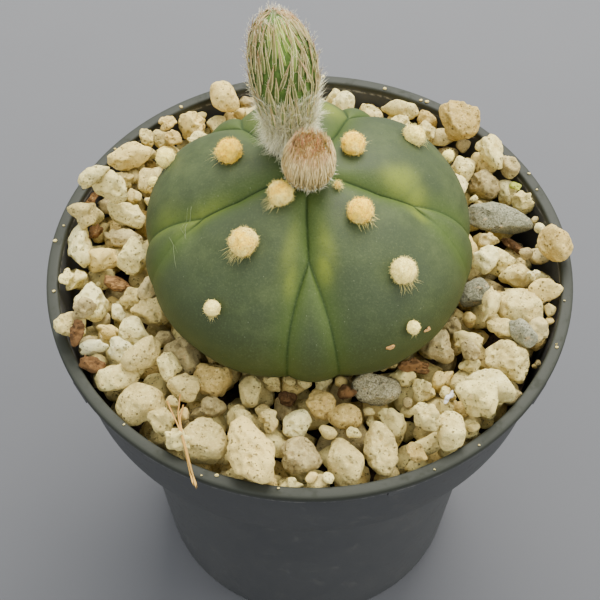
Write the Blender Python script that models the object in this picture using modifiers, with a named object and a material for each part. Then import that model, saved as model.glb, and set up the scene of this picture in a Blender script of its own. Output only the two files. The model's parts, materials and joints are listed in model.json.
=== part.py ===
"""Potted star cactus in a round nursery pot, dressed with pumice grit.

Run with: blender --background --python part.py
Units are metres, +Z is up, and the origin is the middle of the pot's foot, on the ground.
"""

import math

import bmesh
import bpy
from mathutils import Vector, noise
from mathutils.bvhtree import BVHTree

MM = 0.001

# ---------------------------------------------------------------- driving dimensions

POT_HEIGHT = 90.0 * MM
RIM_RADIUS = 50.0 * MM          # a 10 cm pot, measured over its rim
LIP_HEIGHT = 1.8 * MM
LIP_OVERHANG = 1.1 * MM         # how far the lip stands out from the collar
WALL = 1.3 * MM
COLLAR_FOOT_RADIUS = 46.3 * MM  # the collar narrows to this
COLLAR_HEIGHT = 20.5 * MM
SHOULDER_RADIUS = 38.6 * MM     # the body starts here, under the collar
SHOULDER_DROP = 4.5 * MM
FOOT_RADIUS = 33.8 * MM
FOOT_RING = 4.5 * MM            # width of the flat ring that the pot stands on
FOOT_RISE = 2.0 * MM            # the floor inside the ring is raised this much
FLOOR = 1.6 * MM
DRAIN_HOLES = 6
DRAIN_RADIUS = 3.5 * MM
DRAIN_CIRCLE = 20.0 * MM
LIP_WIDTH = 2.3 * MM            # from the pot's bore to the rim
EDGE_ROUND = 0.4 * MM           # worn corners of the plastic
TAB_TURNS = (123.0, 176.0, 214.0, 289.0, 327.0)   # degrees, moulding tabs under the lip
TAB_SIZE = (1.6 * MM, 5.0 * MM, 1.4 * MM)         # reach, length along the rim, height
TAB_INSET = 1.0 * MM            # the middle of a tab, in from the rim
TAB_DROP = 0.5 * MM             # and below the lip

GAP = 0.3 * MM                  # clearance between pieces that touch
SEAT_GAP = 0.35 * MM            # under a piece that is set down on another
ROOT_CLEARANCE = 0.7 * MM       # between the taproot and the soil round it

SOIL_TOP = POT_HEIGHT - 14.0 * MM
BED_DEPTH = 5.2 * MM            # the grit lies this far below the rim
BED_LUMP = 0.7 * MM             # height of its soft lumps
BED_LUMP_SPAN = 6.0 * MM
BED_BODY_GAP = 1.0 * MM         # between the grit and the cactus above it
BED_BORE = 16.5 * MM            # radius of the hole in the grit round the taproot

BODY_RADIUS = 31.0 * MM         # half width over the ribs
BODY_CROWN = 19.6 * MM          # from the widest level to the crown
BODY_UNDER = 15.0 * MM          # and down to where the underside would close
BODY_LEVEL = POT_HEIGHT + 7.6 * MM
BODY_OFFSET = Vector((-0.3 * MM, 0.1 * MM, 0.0))
FURROW_DEPTH = 2.6 * MM
CROWN_DIP = 0.9 * MM
ROOT_MOUTH = 12.8 * MM          # radius of the hole in the soil at its top
UNDERSIDE_FALL = 150.0          # degrees from the crown, where the body turns into the taproot

# Each furrow between two ribs: its turn at the crown, its turn where it forks, the fall of
# the fork, the middle turn of its two arms at the widest level, and their spread, in degrees.
FURROWS = (
    (264.0, 270.5, 34.0, 272.0, 9.0),
    (205.0, 197.5, 42.0, 193.5, 8.5),
    (141.0, 128.0, 44.0, 124.0, 8.5),
    (61.0, 69.0, 44.0, 71.0, 8.5),
    (339.0, 351.0, 40.0, 349.5, 8.8),
)
RIB_REACH = 30.0                # degrees over which a rib swells beside its furrow
FORK_REACH = 15.0               # degrees of fall over which a fork opens
WEDGE_RISE = 0.62               # how much of the furrow's depth the young rib in a fork regains

# The taproot below the body: radius and depth below the rim, in millimetres.
TAPROOT = ((10.5, 13.0), (7.0, 19.0), (5.2, 27.0), (3.2, 37.0), (1.4, 45.0), (0.0, 47.5))

# Wool pads: rib letter, turn and fall in degrees, width and height in millimetres.
WOOL_PADS = (
    ("a1", 232.5, 15.4, 5.7, 3.7), ("a2", 233.0, 36.5, 5.6, 3.6), ("a3", 235.0, 63.5, 3.3, 2.4),
    ("b1", 321.5, 12.0, 2.4, 1.7), ("b2", 314.0, 24.5, 5.2, 3.5), ("b3", 312.5, 50.5, 5.2, 3.4),
    ("b4", 307.0, 73.5, 3.0, 2.0), ("c1", 34.5, 18.0, 5.3, 3.5), ("c2", 33.0, 47.5, 4.8, 3.2),
    ("c3", 31.0, 76.0, 3.0, 2.0), ("d1", 98.0, 37.0, 5.2, 3.5), ("d2", 98.0, 66.0, 4.0, 2.7),
    ("e1", 162.0, 29.0, 5.4, 3.6), ("e2", 157.0, 66.0, 4.6, 3.1), ("e3", 159.0, 84.0, 2.8, 1.8),
)

PAD_SUNK = 0.22                 # share of a pad's height below its widest level

# Flower buds: name, turn and fall of the foot, lean of the bud and the way it leans in
# degrees, then its length and half width in millimetres.
BUDS = (
    ("flower_bud_large", 119.0, 13.5, 9.0, 98.0, 27.5, 6.4),
    ("flower_bud_small", 268.0, 3.6, 8.0, 265.0, 10.0, 4.6),
)
# Outline of a bud from its tip to its foot, as shares of its length and of its half width.
BUD_OUTLINE = ((1.0, 0.0), (0.99, 0.26), (0.96, 0.5), (0.9, 0.72), (0.72, 0.98), (0.5, 1.0),
               (0.3, 0.86), (0.14, 0.66), (0.03, 0.52), (0.0, 0.0))

# Stones of the top dressing: name, x, y, length, width, thickness (mm), turn (degrees), kind.
STONES = (
    ("stone_front_long", -8.3, -38.5, 13.5, 8.2, 7.5, -72.0, "ochre"),
    ("stone_front_square", -18.3, -39.5, 9.0, 8.4, 7.5, -70.0, "beige"),
    ("stone_front_pyramid", -1.4, -41.3, 8.0, 6.6, 7.0, -20.0, "grey"),
    ("stone_front_wedge", 5.8, -41.9, 10.0, 6.6, 7.0, -65.0, "beige"),
    ("stone_front_tall", 12.4, -39.3, 10.8, 5.8, 7.5, -75.0, "beige"),
    ("stone_front_cream", -1.9, -34.4, 5.2, 5.0, 5.5, 0.0, "cream"),
    ("stone_front_mid", 1.0, -30.6, 6.2, 5.4, 6.5, -75.0, "ochre"),
    ("stone_front_granite", 12.4, -26.8, 9.2, 5.2, 5.5, -8.0, "slate"),
    ("stone_left_big", -36.0, -37.9, 9.2, 7.6, 7.5, 10.0, "beige"),
    ("stone_left_pitted", -39.8, -29.3, 9.4, 6.2, 7.0, 20.0, "beige"),
    ("stone_left_round", -19.9, -18.5, 7.2, 6.8, 7.5, 0.0, "grey"),
    ("stone_left_tan", -14.5, -22.0, 7.4, 6.8, 7.0, 0.0, "ochre"),
    ("stone_left_cream", -31.8, -16.3, 8.4, 5.8, 6.0, -45.0, "cream"),
    ("stone_left_oval", -29.8, -11.0, 8.2, 5.2, 6.5, -25.0, "beige"),
    ("stone_left_white", -40.9, -8.1, 8.4, 6.2, 6.5, -78.0, "cream"),
    ("stone_left_rim", -43.3, -16.3, 6.0, 5.4, 6.0, 60.0, "beige"),
    ("stone_left_edge", -44.4, 4.3, 9.4, 5.4, 6.5, 85.0, "cream"),
    ("stone_left_mottled", -34.0, 1.9, 7.6, 6.0, 7.0, 60.0, "beige"),
    ("stone_left_slab", -36.6, 13.3, 9.6, 5.4, 5.5, -38.0, "beige"),
    ("stone_left_pale", -49.9, 19.3, 8.4, 5.6, 6.0, -40.0, "beige"),
    ("stone_left_ochre", -34.4, 26.3, 9.6, 5.2, 6.0, 38.0, "ochre"),
    ("stone_back_left", -24.7, 37.0, 6.8, 5.6, 6.5, -30.0, "ochre"),
    ("stone_back_tall", -16.3, 39.5, 7.2, 6.0, 7.0, -60.0, "ochre"),
    ("stone_back_white", 7.1, 41.7, 5.4, 4.8, 7.8, -45.0, "cream"),
    ("stone_back_boulder", 30.6, 34.1, 9.0, 8.0, 8.5, -15.0, "ochre"),
    ("stone_right_tan", 38.1, 28.6, 7.4, 5.0, 6.0, -50.0, "ochre"),
    ("stone_right_block", 34.8, 21.5, 6.4, 5.4, 6.0, -10.0, "grey"),
    ("stone_right_slab", 36.9, 12.5, 14.0, 6.0, 6.0, -13.0, "slate"),
    ("stone_right_egg", 46.9, 2.9, 9.6, 6.4, 7.5, -75.0, "ochre"),
    ("stone_right_long", 39.8, -1.3, 7.8, 4.2, 5.5, 18.0, "beige"),
    ("stone_right_grey", 30.9, -5.6, 6.2, 5.2, 6.5, -10.0, "slate"),
    ("stone_right_pitted", 38.8, -10.1, 9.8, 8.2, 8.0, -45.0, "beige"),
    ("stone_right_pale", 36.2, -21.6, 9.8, 7.2, 7.5, -38.0, "beige"),
    ("stone_right_cream", 37.4, -32.0, 9.8, 6.2, 7.0, -18.0, "cream"),
    ("stone_right_rough", 23.6, -17.6, 7.2, 6.0, 6.5, -35.0, "grey"),
    ("stone_right_kite", 23.2, -35.0, 7.4, 5.0, 6.5, -85.0, "beige"),
    ("bark_chip_left", -37.1, -2.7, 6.6, 3.6, 2.4, -25.0, "bark"),
    ("bark_chip_right", 20.5, -20.9, 5.6, 2.6, 2.0, -5.0, "bark"),
)
RIM_STONES = ("stone_back_boulder",)   # rests on the rim, the others lie inside it
STONE_BULGE = 0.13              # how unevenly a stone is worn, as a share of its size
STONE_SQUARENESS = 0.14         # from a ball at 0 towards a block
STONE_TILT = 0.12               # radians
DROP_HEIGHT = POT_HEIGHT + 30.0 * MM
SLIDE_STEP = 0.4 * MM
LEAN_LIMIT = 1.2 * MM           # how far above the rim the middle of a leaning stone may be
STONE_COLOURS = {
    "beige": (0.56, 0.46, 0.31), "ochre": (0.58, 0.43, 0.25), "cream": (0.72, 0.65, 0.49),
    "grey": (0.36, 0.31, 0.24), "slate": (0.25, 0.26, 0.24), "bark": (0.17, 0.08, 0.04),
}

POT_STEPS = 60                  # faces round the pot
SOIL_STEPS = 36
BUD_STEPS = 18
BODY_RIBS, BODY_RINGS = 72, 20  # faces round the cactus, and from its crown to its underside
BED_STEPS, BED_RINGS = 54, 6


# ---------------------------------------------------------------- shared helpers

def clear_scene():
    """Remove whatever the file opened with."""
    for thing in list(bpy.data.objects):
        bpy.data.objects.remove(thing, do_unlink=True)


def new_collection(name):
    """Make a collection in the scene."""
    collection = bpy.data.collections.new(name)
    bpy.context.scene.collection.children.link(collection)
    return collection


def plain_material(name, colour, roughness):
    """A Principled BSDF of one colour, made once per name."""
    material = bpy.data.materials.get(name)
    if material is None:
        material = bpy.data.materials.new(name)
        material.use_nodes = True
        shader = material.node_tree.nodes["Principled BSDF"]
        shader.inputs["Base Color"].default_value = (*colour, 1.0)
        shader.inputs["Roughness"].default_value = roughness
        shader.inputs["Metallic"].default_value = 0.0
    return material


def add_object(name, mesh, collection, material=None):
    """Put a mesh in the scene as a named object."""
    thing = bpy.data.objects.new(name, mesh)
    collection.objects.link(thing)
    if material is not None:
        mesh.materials.append(material)
    return thing


def shade_round(thing, angle=35.0):
    """Smooth shading with the real corners kept sharp."""
    thing.data.shade_smooth()
    thing.data.set_sharp_from_angle(angle=math.radians(angle))


def evaluated_mesh(thing):
    """The object's mesh with its modifiers worked in."""
    graph = bpy.context.evaluated_depsgraph_get()
    return bpy.data.meshes.new_from_object(thing.evaluated_get(graph))


def turned(name, profile, steps, collection, material):
    """A solid of revolution: the (radius, height) profile runs down its outer side."""
    mesh = bpy.data.meshes.new(name)
    mesh.from_pydata([(r, 0.0, z) for r, z in profile],
                     [(i, i + 1) for i in range(len(profile) - 1)], [])
    thing = add_object(name, mesh, collection, material)
    screw = thing.modifiers.new("turn", "SCREW")
    screw.steps = steps
    screw.render_steps = steps
    screw.use_merge_vertices = True
    screw.merge_threshold = 0.00001
    bpy.context.view_layer.update()
    thing.data = evaluated_mesh(thing)
    thing.modifiers.clear()
    shade_round(thing)
    return thing


def smooth_step(value):
    """Ease from 0 to 1."""
    value = min(1.0, max(0.0, value))
    return value * value * (3.0 - 2.0 * value)


def place_tool(name, tools, location, turn=0.0, scale=(1.0, 1.0, 1.0)):
    """Name the primitive just added, put it in place and keep it as a hidden guide."""
    tool = bpy.context.active_object
    tool.name = name
    tool.location = location
    tool.rotation_euler = (0.0, 0.0, turn)
    tool.scale = scale
    tool.hide_render = True
    tool.display_type = "WIRE"
    for home in list(tool.users_collection):
        home.objects.unlink(tool)
    tools.objects.link(tool)
    return tool


def cut_or_join(target, tool, operation):
    """Boolean a tool into the target."""
    cut = target.modifiers.new(tool.name, "BOOLEAN")
    cut.operation = operation
    cut.solver = "EXACT"
    cut.object = tool


# ---------------------------------------------------------------- pot and soil

COLLAR_FOOT = POT_HEIGHT - COLLAR_HEIGHT
SHOULDER = COLLAR_FOOT - SHOULDER_DROP
FLOOR_TOP = FOOT_RISE + FLOOR


def pot_inside():
    """The bore of the pot, from the middle of its floor up to the lip."""
    return [
        (0.0, FLOOR_TOP),
        (FOOT_RADIUS - WALL - 3 * EDGE_ROUND, FLOOR_TOP),
        (FOOT_RADIUS - WALL, FLOOR_TOP + 3 * EDGE_ROUND),
        (SHOULDER_RADIUS - WALL, SHOULDER + EDGE_ROUND),
        (COLLAR_FOOT_RADIUS - WALL - EDGE_ROUND, COLLAR_FOOT + 2 * EDGE_ROUND),
        (COLLAR_FOOT_RADIUS - WALL, COLLAR_FOOT + 4 * EDGE_ROUND),
        (RIM_RADIUS - LIP_WIDTH, POT_HEIGHT - LIP_HEIGHT),
    ]


def pot_outside():
    """The lip, the collar, the stepped body and the foot ring, from the lip's inner edge down."""
    rim, top = RIM_RADIUS, POT_HEIGHT
    return [
        (rim - LIP_WIDTH, top - EDGE_ROUND),
        (rim - LIP_WIDTH + EDGE_ROUND, top),
        (rim - EDGE_ROUND, top),
        (rim, top - EDGE_ROUND),
        (rim, top - LIP_HEIGHT + EDGE_ROUND),
        (rim - EDGE_ROUND, top - LIP_HEIGHT),
        (rim - LIP_OVERHANG, top - LIP_HEIGHT - EDGE_ROUND / 2),
        (COLLAR_FOOT_RADIUS, COLLAR_FOOT + EDGE_ROUND),
        (COLLAR_FOOT_RADIUS - EDGE_ROUND, COLLAR_FOOT),
        (SHOULDER_RADIUS, SHOULDER),
        (FOOT_RADIUS, EDGE_ROUND),
        (FOOT_RADIUS - EDGE_ROUND, 0.0),
        (FOOT_RADIUS - FOOT_RING, 0.0),
        (FOOT_RADIUS - FOOT_RING - EDGE_ROUND, FOOT_RISE),
        (0.0, FOOT_RISE),
    ]


def make_pot(parts, tools):
    """Thin moulded shell with a lip, a collar, a stepped body, drain holes and mould tabs."""
    plastic = plain_material("black_plastic", (0.035, 0.037, 0.038), 0.55)
    pot = turned("pot", pot_inside() + pot_outside(), POT_STEPS, parts, plastic)
    reach = RIM_RADIUS - TAB_INSET
    for number, turn in enumerate(TAB_TURNS):
        angle = math.radians(turn)
        place = (reach * math.cos(angle), reach * math.sin(angle),
                 POT_HEIGHT - LIP_HEIGHT - TAB_DROP)
        bpy.ops.mesh.primitive_cube_add(size=1.0)
        cut_or_join(pot, place_tool(f"tab_tool_{number}", tools, place, angle, TAB_SIZE), "UNION")
    for number in range(DRAIN_HOLES):
        angle = 2.0 * math.pi * number / DRAIN_HOLES
        place = (DRAIN_CIRCLE * math.cos(angle), DRAIN_CIRCLE * math.sin(angle), 0.0)
        bpy.ops.mesh.primitive_cylinder_add(vertices=16, radius=DRAIN_RADIUS, depth=4 * FLOOR_TOP)
        cut_or_join(pot, place_tool(f"drain_tool_{number}", tools, place), "DIFFERENCE")
    return pot


def pot_bore(height):
    """Inner radius of the pot at a height, up to the lip."""
    stops = pot_inside()[1:]
    for (r0, z0), (r1, z1) in zip(stops, stops[1:]):
        if z0 <= height <= z1:
            return r0 + (r1 - r0) * (height - z0) / (z1 - z0)
    return stops[-1][0]


def make_soil(parts):
    """Potting mix that fills the pot up to the grit, with the hole that the root fills."""
    earth = plain_material("potting_mix", (0.06, 0.035, 0.02), 0.95)
    outer = [(pot_bore(SOIL_TOP) - 2 * GAP, SOIL_TOP)]
    outer += [(radius - 2 * GAP, level + GAP) for radius, level in reversed(pot_inside()[1:6])]
    outer.append((0.0, FLOOR_TOP + GAP))
    hole = [(0.0, POT_HEIGHT - TAPROOT[-1][1] * MM - ROOT_CLEARANCE)]
    for radius, deep in reversed(TAPROOT[:-1]):
        level = POT_HEIGHT - deep * MM - GAP
        if level < SOIL_TOP - 1.0 * MM:
            hole.append((radius * MM + ROOT_CLEARANCE, level))
    hole.append((ROOT_MOUTH, SOIL_TOP))
    return turned("soil", hole + outer, SOIL_STEPS, parts, earth)


# ---------------------------------------------------------------- cactus

def furrow_turn(furrow, fall):
    """Middle line of a furrow, in degrees round the plant, at a fall from the crown."""
    crown, fork_turn, fork, low_turn, _ = furrow
    near = 1.0 - (1.0 - min(1.0, fall / fork)) ** 1.5
    beyond = min(1.3, max(0.0, (fall - fork) / (90.0 - fork)))
    return crown + (fork_turn - crown) * near + (low_turn - fork_turn) * beyond


def fork_spread(furrow, fall):
    """Half the angle between the two arms of a forked furrow."""
    return furrow[4] * (1.0 - math.exp(-max(0.0, fall - furrow[2]) / FORK_REACH))


def furrow_depth(turn, fall):
    """How far the skin sinks below the smooth dome, in metres."""
    depth = FURROW_DEPTH * min(1.0, fall / 26.0) ** 1.2
    depth *= 1.0 - 0.42 * min(1.0, max(0.0, (fall - 45.0) / 45.0))
    depth *= 1.0 - smooth_step((fall - 105.0) / 35.0)
    deepest = 0.0
    for furrow in FURROWS:
        aside = abs((turn - furrow_turn(furrow, fall) + 180.0) % 360.0 - 180.0)
        spread = fork_spread(furrow, fall)
        if aside >= spread:
            share = (1.0 - min(1.0, (aside - spread) / RIB_REACH)) ** 2.6
        else:
            rise = WEDGE_RISE * spread / furrow[4]
            share = 1.0 - rise * (1.0 - (aside / spread) ** 2.2)
        deepest = max(deepest, depth * share)
    return deepest


def skin_point(turn, fall):
    """A point on the cactus: turn round the plant and fall from its crown, in degrees."""
    angle, slope = math.radians(turn), math.radians(fall)
    radius = BODY_RADIUS * math.sin(slope)
    rise = BODY_CROWN if fall < 90.0 else BODY_UNDER
    height = rise * math.cos(slope)
    out = Vector((math.sin(slope) / BODY_RADIUS, math.cos(slope) / rise)).normalized()
    sink = furrow_depth(turn, fall) + CROWN_DIP * math.exp(-((fall / 9.0) ** 2))
    radius -= sink * out.x
    height -= sink * out.y
    return BODY_OFFSET + Vector((radius * math.cos(angle), radius * math.sin(angle),
                                 BODY_LEVEL + height))


def make_cactus(parts):
    """Ribbed dome and taproot in one solid, shaped from a round primitive."""
    skin = plain_material("cactus_skin", (0.095, 0.16, 0.07), 0.5)
    rings = BODY_RINGS + len(TAPROOT)
    body = bmesh.new()
    bmesh.ops.create_uvsphere(body, u_segments=BODY_RIBS, v_segments=rings, radius=1.0)
    for vertex in body.verts:
        ring = round(math.acos(max(-1.0, min(1.0, vertex.co.z))) / math.pi * rings)
        turn = math.degrees(math.atan2(vertex.co.y, vertex.co.x)) % 360.0
        if ring <= BODY_RINGS:
            vertex.co = skin_point(turn, UNDERSIDE_FALL * ring / BODY_RINGS)
        else:
            radius, deep = TAPROOT[ring - BODY_RINGS - 1]
            angle = math.radians(turn)
            vertex.co = BODY_OFFSET + Vector((radius * MM * math.cos(angle),
                                              radius * MM * math.sin(angle),
                                              POT_HEIGHT - deep * MM))
    mesh = bpy.data.meshes.new("cactus_body")
    body.to_mesh(mesh)
    body.free()
    cactus = add_object("cactus_body", mesh, parts, skin)
    shade_round(cactus)
    return cactus


def skin_frame(turn, fall):
    """Where a piece sits on the skin, and the way out from it."""
    here = skin_point(turn, fall)
    along = skin_point(turn + 1.0, fall) - skin_point(turn - 1.0, fall)
    down = skin_point(turn, fall + 1.0) - skin_point(turn, fall - 1.0)
    return here, down.cross(along).normalized()


# ---------------------------------------------------------------- setting pieces down

def sample_points(mesh, matrix):
    """Corners, edge middles and face middles of a mesh, in world space."""
    corners = [matrix @ vertex.co for vertex in mesh.vertices]
    middles = [(corners[edge.vertices[0]] + corners[edge.vertices[1]]) / 2 for edge in mesh.edges]
    return corners + middles + [matrix @ face.center for face in mesh.polygons]


def surface_tree(thing):
    """A search tree of an object's faces, with points all over them, in world space."""
    mesh = evaluated_mesh(thing)
    matrix = thing.matrix_world
    tree = BVHTree.FromPolygons([matrix @ vertex.co for vertex in mesh.vertices],
                                [tuple(face.vertices) for face in mesh.polygons])
    points = sample_points(mesh, matrix)
    bpy.data.meshes.remove(mesh)
    return tree, points


def nearest_touch(thing, tree):
    """Smallest distance from a piece to a surface, negative where inside, and the way off it."""
    nearest, way = 1.0, Vector((0.0, 0.0, 1.0))
    for point in sample_points(thing.data, thing.matrix_world):
        hit, normal, _, distance = tree.find_nearest(point)
        if hit is not None:
            if (point - hit).dot(normal) < 0.0:
                distance = -distance
            if distance < nearest:
                nearest, way = distance, normal
    return nearest, way


def press_to_skin(thing, way, tree):
    """Slide a piece along a direction until it lies one gap off the skin."""
    for _ in range(12):
        miss = SEAT_GAP - nearest_touch(thing, tree)[0]
        if abs(miss) < SEAT_GAP / 30:
            break
        thing.location += way * miss
        bpy.context.view_layer.update()


def room_below(thing, beds):
    """How far a piece can fall before it touches any of the surfaces below it."""
    room = 1.0
    own_tree, points = surface_tree(thing)
    low = Vector([min(point[axis] for point in points) for axis in range(2)])
    high = Vector([max(point[axis] for point in points) for axis in range(2)])
    for tree, marks in beds:
        for point in points:
            hit = tree.ray_cast(point, Vector((0.0, 0.0, -1.0)))
            if hit[0] is not None:
                room = min(room, hit[3])
        for mark in marks:
            if low.x <= mark.x <= high.x and low.y <= mark.y <= high.y:
                hit = own_tree.ray_cast(mark, Vector((0.0, 0.0, 1.0)))
                if hit[0] is not None:
                    room = min(room, hit[3])
    return room


# ---------------------------------------------------------------- wool, buds, grit

def make_wool_pads(parts, skin):
    """A domed pad of wool at each areole, seated on its rib."""
    wool = plain_material("areole_wool", (0.76, 0.58, 0.36), 0.95)
    for name, turn, fall, width, height in WOOL_PADS:
        pad = bmesh.new()
        bmesh.ops.create_icosphere(pad, subdivisions=2, radius=1.0)
        for vertex in pad.verts:
            low = vertex.co.z < 0.0
            vertex.co.x *= width / 2 * MM
            vertex.co.y *= width / 2 * MM
            vertex.co.z *= height * MM * (PAD_SUNK if low else 1.0 - PAD_SUNK)
        mesh = bpy.data.meshes.new(f"areole_wool_{name}")
        pad.to_mesh(mesh)
        pad.free()
        thing = add_object(f"areole_wool_{name}", mesh, parts, wool)
        here, out = skin_frame(turn, fall)
        thing.rotation_euler = out.to_track_quat("Z", "X").to_euler()
        thing.location = here + out * height * PAD_SUNK * MM
        bpy.context.view_layer.update()
        press_to_skin(thing, out, skin)
        shade_round(thing, 80.0)


def make_buds(parts, skin):
    """Two scaly flower buds, turned solids that lean as they grow from the crown."""
    scales = plain_material("bud_scales", (0.42, 0.40, 0.24), 0.8)
    for name, turn, fall, lean, lean_turn, length, half_width in BUDS:
        profile = [(share * half_width * MM, level * length * MM)
                   for level, share in BUD_OUTLINE]
        bud = turned(name, profile, BUD_STEPS, parts, scales)
        way = math.radians(lean_turn)
        axis = Vector((math.cos(way) * math.sin(math.radians(lean)),
                       math.sin(way) * math.sin(math.radians(lean)),
                       math.cos(math.radians(lean))))
        here, _ = skin_frame(turn, fall)
        bud.rotation_euler = axis.to_track_quat("Z", "X").to_euler()
        bud.location = here + axis * SEAT_GAP
        bpy.context.view_layer.update()
        press_to_skin(bud, axis, skin)


def underside_height(x, y):
    """Height of the cactus's underside over a place, outside its taproot."""
    away = math.hypot(x - BODY_OFFSET.x, y - BODY_OFFSET.y) / BODY_RADIUS
    return BODY_LEVEL - BODY_UNDER * math.sqrt(max(0.0, 1.0 - away * away))


def bed_height(x, y):
    """Top of the grit layer, with soft lumps, and kept clear of the cactus over it."""
    lump = BED_LUMP * noise.noise(Vector((x, y, 0.0)) / BED_LUMP_SPAN)
    return min(POT_HEIGHT - BED_DEPTH + lump, underside_height(x, y) - BED_BODY_GAP)


def make_gravel_bed(parts):
    """The packed lower grit, one lumpy ring between the pot's wall and the taproot."""
    grit = plain_material("pumice_grit", (0.5, 0.4, 0.27), 0.95)
    low = SOIL_TOP + GAP
    top = POT_HEIGHT - BED_DEPTH
    outer = pot_bore(low) - 2 * GAP
    ring = [(BED_BORE, low)]
    ring += [(BED_BORE + (outer - BED_BORE) * step / BED_RINGS, top)
             for step in range(BED_RINGS + 1)]
    ring += [(outer, low), (BED_BORE, low)]
    bed = turned("gravel_bed", ring, BED_STEPS, parts, grit)
    weld = bmesh.new()
    weld.from_mesh(bed.data)
    bmesh.ops.remove_doubles(weld, verts=weld.verts, dist=GAP / 10)
    for vertex in weld.verts:
        if vertex.co.z > top - GAP:
            vertex.co.z = bed_height(vertex.co.x, vertex.co.y)
    weld.to_mesh(bed.data)
    weld.free()
    shade_round(bed, 60.0)
    return bed


def stone_mesh(name, seed, size, kind):
    """A worn lump: a coarse ball made blockier and pushed in and out by noise."""
    lump = bmesh.new()
    bmesh.ops.create_icosphere(lump, subdivisions=1 if kind == "bark" else 2, radius=1.0)
    shift = Vector((seed * 7.31, seed * 3.17, seed * 5.71))
    for vertex in lump.verts:
        bulge = 1.0 + STONE_BULGE * noise.noise(vertex.co * 1.3 + shift)
        widest = max(abs(share) for share in vertex.co)
        worn = vertex.co * bulge * (1.0 - STONE_SQUARENESS + STONE_SQUARENESS / widest)
        vertex.co = Vector([share * span * MM / 2 for share, span in zip(worn, size)])
    mesh = bpy.data.meshes.new(name)
    lump.to_mesh(mesh)
    lump.free()
    return mesh


def near_trees(stone, beds, reach):
    """The search trees with a point within reach of a stone's middle, seen from above."""
    middle = stone.location.to_2d()
    return [tree for tree, marks in beds
            if any((mark.to_2d() - middle).length < reach for mark in marks)]


def set_down(stone, beds, skin, may_lie_on_rim):
    """Drop a stone, and push it sideways off whatever it leans on until it lies clear."""
    inward = -Vector((stone.location.x, stone.location.y, 0.0)).normalized()
    for _ in range(30):
        stone.location.z = DROP_HEIGHT
        bpy.context.view_layer.update()
        stone.location.z -= room_below(stone, beds) - SEAT_GAP
        bpy.context.view_layer.update()
        if stone.location.z > POT_HEIGHT + LEAN_LIMIT and not may_lie_on_rim:
            stone.location += inward * SLIDE_STEP
            continue
        push = Vector((0.0, 0.0, 0.0))
        for tree in [skin] + near_trees(stone, beds, max(stone.dimensions)):
            distance, way = nearest_touch(stone, tree)
            sideways = Vector((way.x, way.y, 0.0))
            if distance < 0.8 * GAP and sideways.length > 0.3:
                push += sideways.normalized() * (SEAT_GAP - distance)
        if push.length == 0.0:
            break
        stone.location += push


def make_stones(parts, beds, skin):
    """Set the large top stones down on the grit one by one, each touching what lies below."""
    for number, (name, x, y, length, width, thickness, turn, kind) in enumerate(STONES):
        material = plain_material(f"stone_{kind}", STONE_COLOURS[kind], 0.95)
        mesh = stone_mesh(name, number + 1, (length, width, thickness), kind)
        stone = add_object(name, mesh, parts, material)
        stone.rotation_euler = (STONE_TILT * math.sin(number * 2.3),
                                STONE_TILT * math.cos(number * 1.7), math.radians(turn))
        stone.location = (x * MM, y * MM, DROP_HEIGHT)
        set_down(stone, beds, skin, name in RIM_STONES)
        beds.append(surface_tree(stone))
        shade_round(stone, 50.0)


def main():
    """Build every piece."""
    clear_scene()
    parts = new_collection("potted_star_cactus")
    tools = new_collection("construction_tools")
    pot = make_pot(parts, tools)
    make_soil(parts)
    bed = make_gravel_bed(parts)
    cactus = make_cactus(parts)
    bpy.context.view_layer.update()
    skin, _ = surface_tree(cactus)
    make_wool_pads(parts, skin)
    make_buds(parts, skin)
    make_stones(parts, [surface_tree(bed), surface_tree(pot)], skin)


main()
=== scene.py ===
# %% [markdown]
# # A potted star cactus
# A low cactus with five broad ribs and two flower buds grows in a black nursery pot that is
# dressed with pumice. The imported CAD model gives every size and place, and this script makes the
# surfaces: skin, wool, scales, pumice, bark and worn plastic. Each cell below makes one of them.
# The heavy meshes are worked out as arrays of points with numpy, which is quick for many
# thousands of points, and become ordinary Blender meshes at the end.

# %% Frame, units and the CAD box
import itertools
import json
import math
from collections import namedtuple

import bmesh
import bpy
import numpy as np
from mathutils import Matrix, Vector


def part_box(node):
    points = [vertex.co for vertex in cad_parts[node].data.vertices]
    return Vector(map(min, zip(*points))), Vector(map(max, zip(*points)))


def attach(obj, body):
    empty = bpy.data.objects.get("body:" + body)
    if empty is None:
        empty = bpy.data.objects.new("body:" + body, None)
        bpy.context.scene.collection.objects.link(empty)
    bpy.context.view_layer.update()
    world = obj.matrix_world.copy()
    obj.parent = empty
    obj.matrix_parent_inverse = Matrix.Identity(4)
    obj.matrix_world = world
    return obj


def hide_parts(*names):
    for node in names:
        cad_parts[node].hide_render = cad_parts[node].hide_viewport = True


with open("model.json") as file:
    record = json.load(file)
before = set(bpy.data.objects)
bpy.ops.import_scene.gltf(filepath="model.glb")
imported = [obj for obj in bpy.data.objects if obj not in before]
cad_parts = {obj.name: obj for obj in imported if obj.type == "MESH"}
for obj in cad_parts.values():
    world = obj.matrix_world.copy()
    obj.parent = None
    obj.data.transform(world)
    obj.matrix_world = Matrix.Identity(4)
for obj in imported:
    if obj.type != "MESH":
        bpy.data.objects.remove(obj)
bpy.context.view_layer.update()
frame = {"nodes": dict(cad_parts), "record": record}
MM = 0.001
POT_LOW, POT_HIGH = (np.array(corner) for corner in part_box("pot"))
RIM_TOP = POT_HIGH[2]
RIM_RADIUS = (POT_HIGH[0] - POT_LOW[0]) / 2
print(f"rim {RIM_TOP / MM:.1f} mm up, {2 * RIM_RADIUS / MM:.1f} mm across")

# %% [markdown]
# ## Camera, floor and light
# A studio picture of a small plant is taken from well above it with a long lens, so the pot
# narrows only a little towards its foot. The light is an even sky with two soft boxes over a
# pale floor: grit and wool then get soft dark gaps between them, and no hard shadow. A smaller,
# nearer lamp would be easier to aim, but would draw each grain's shadow.

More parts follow.
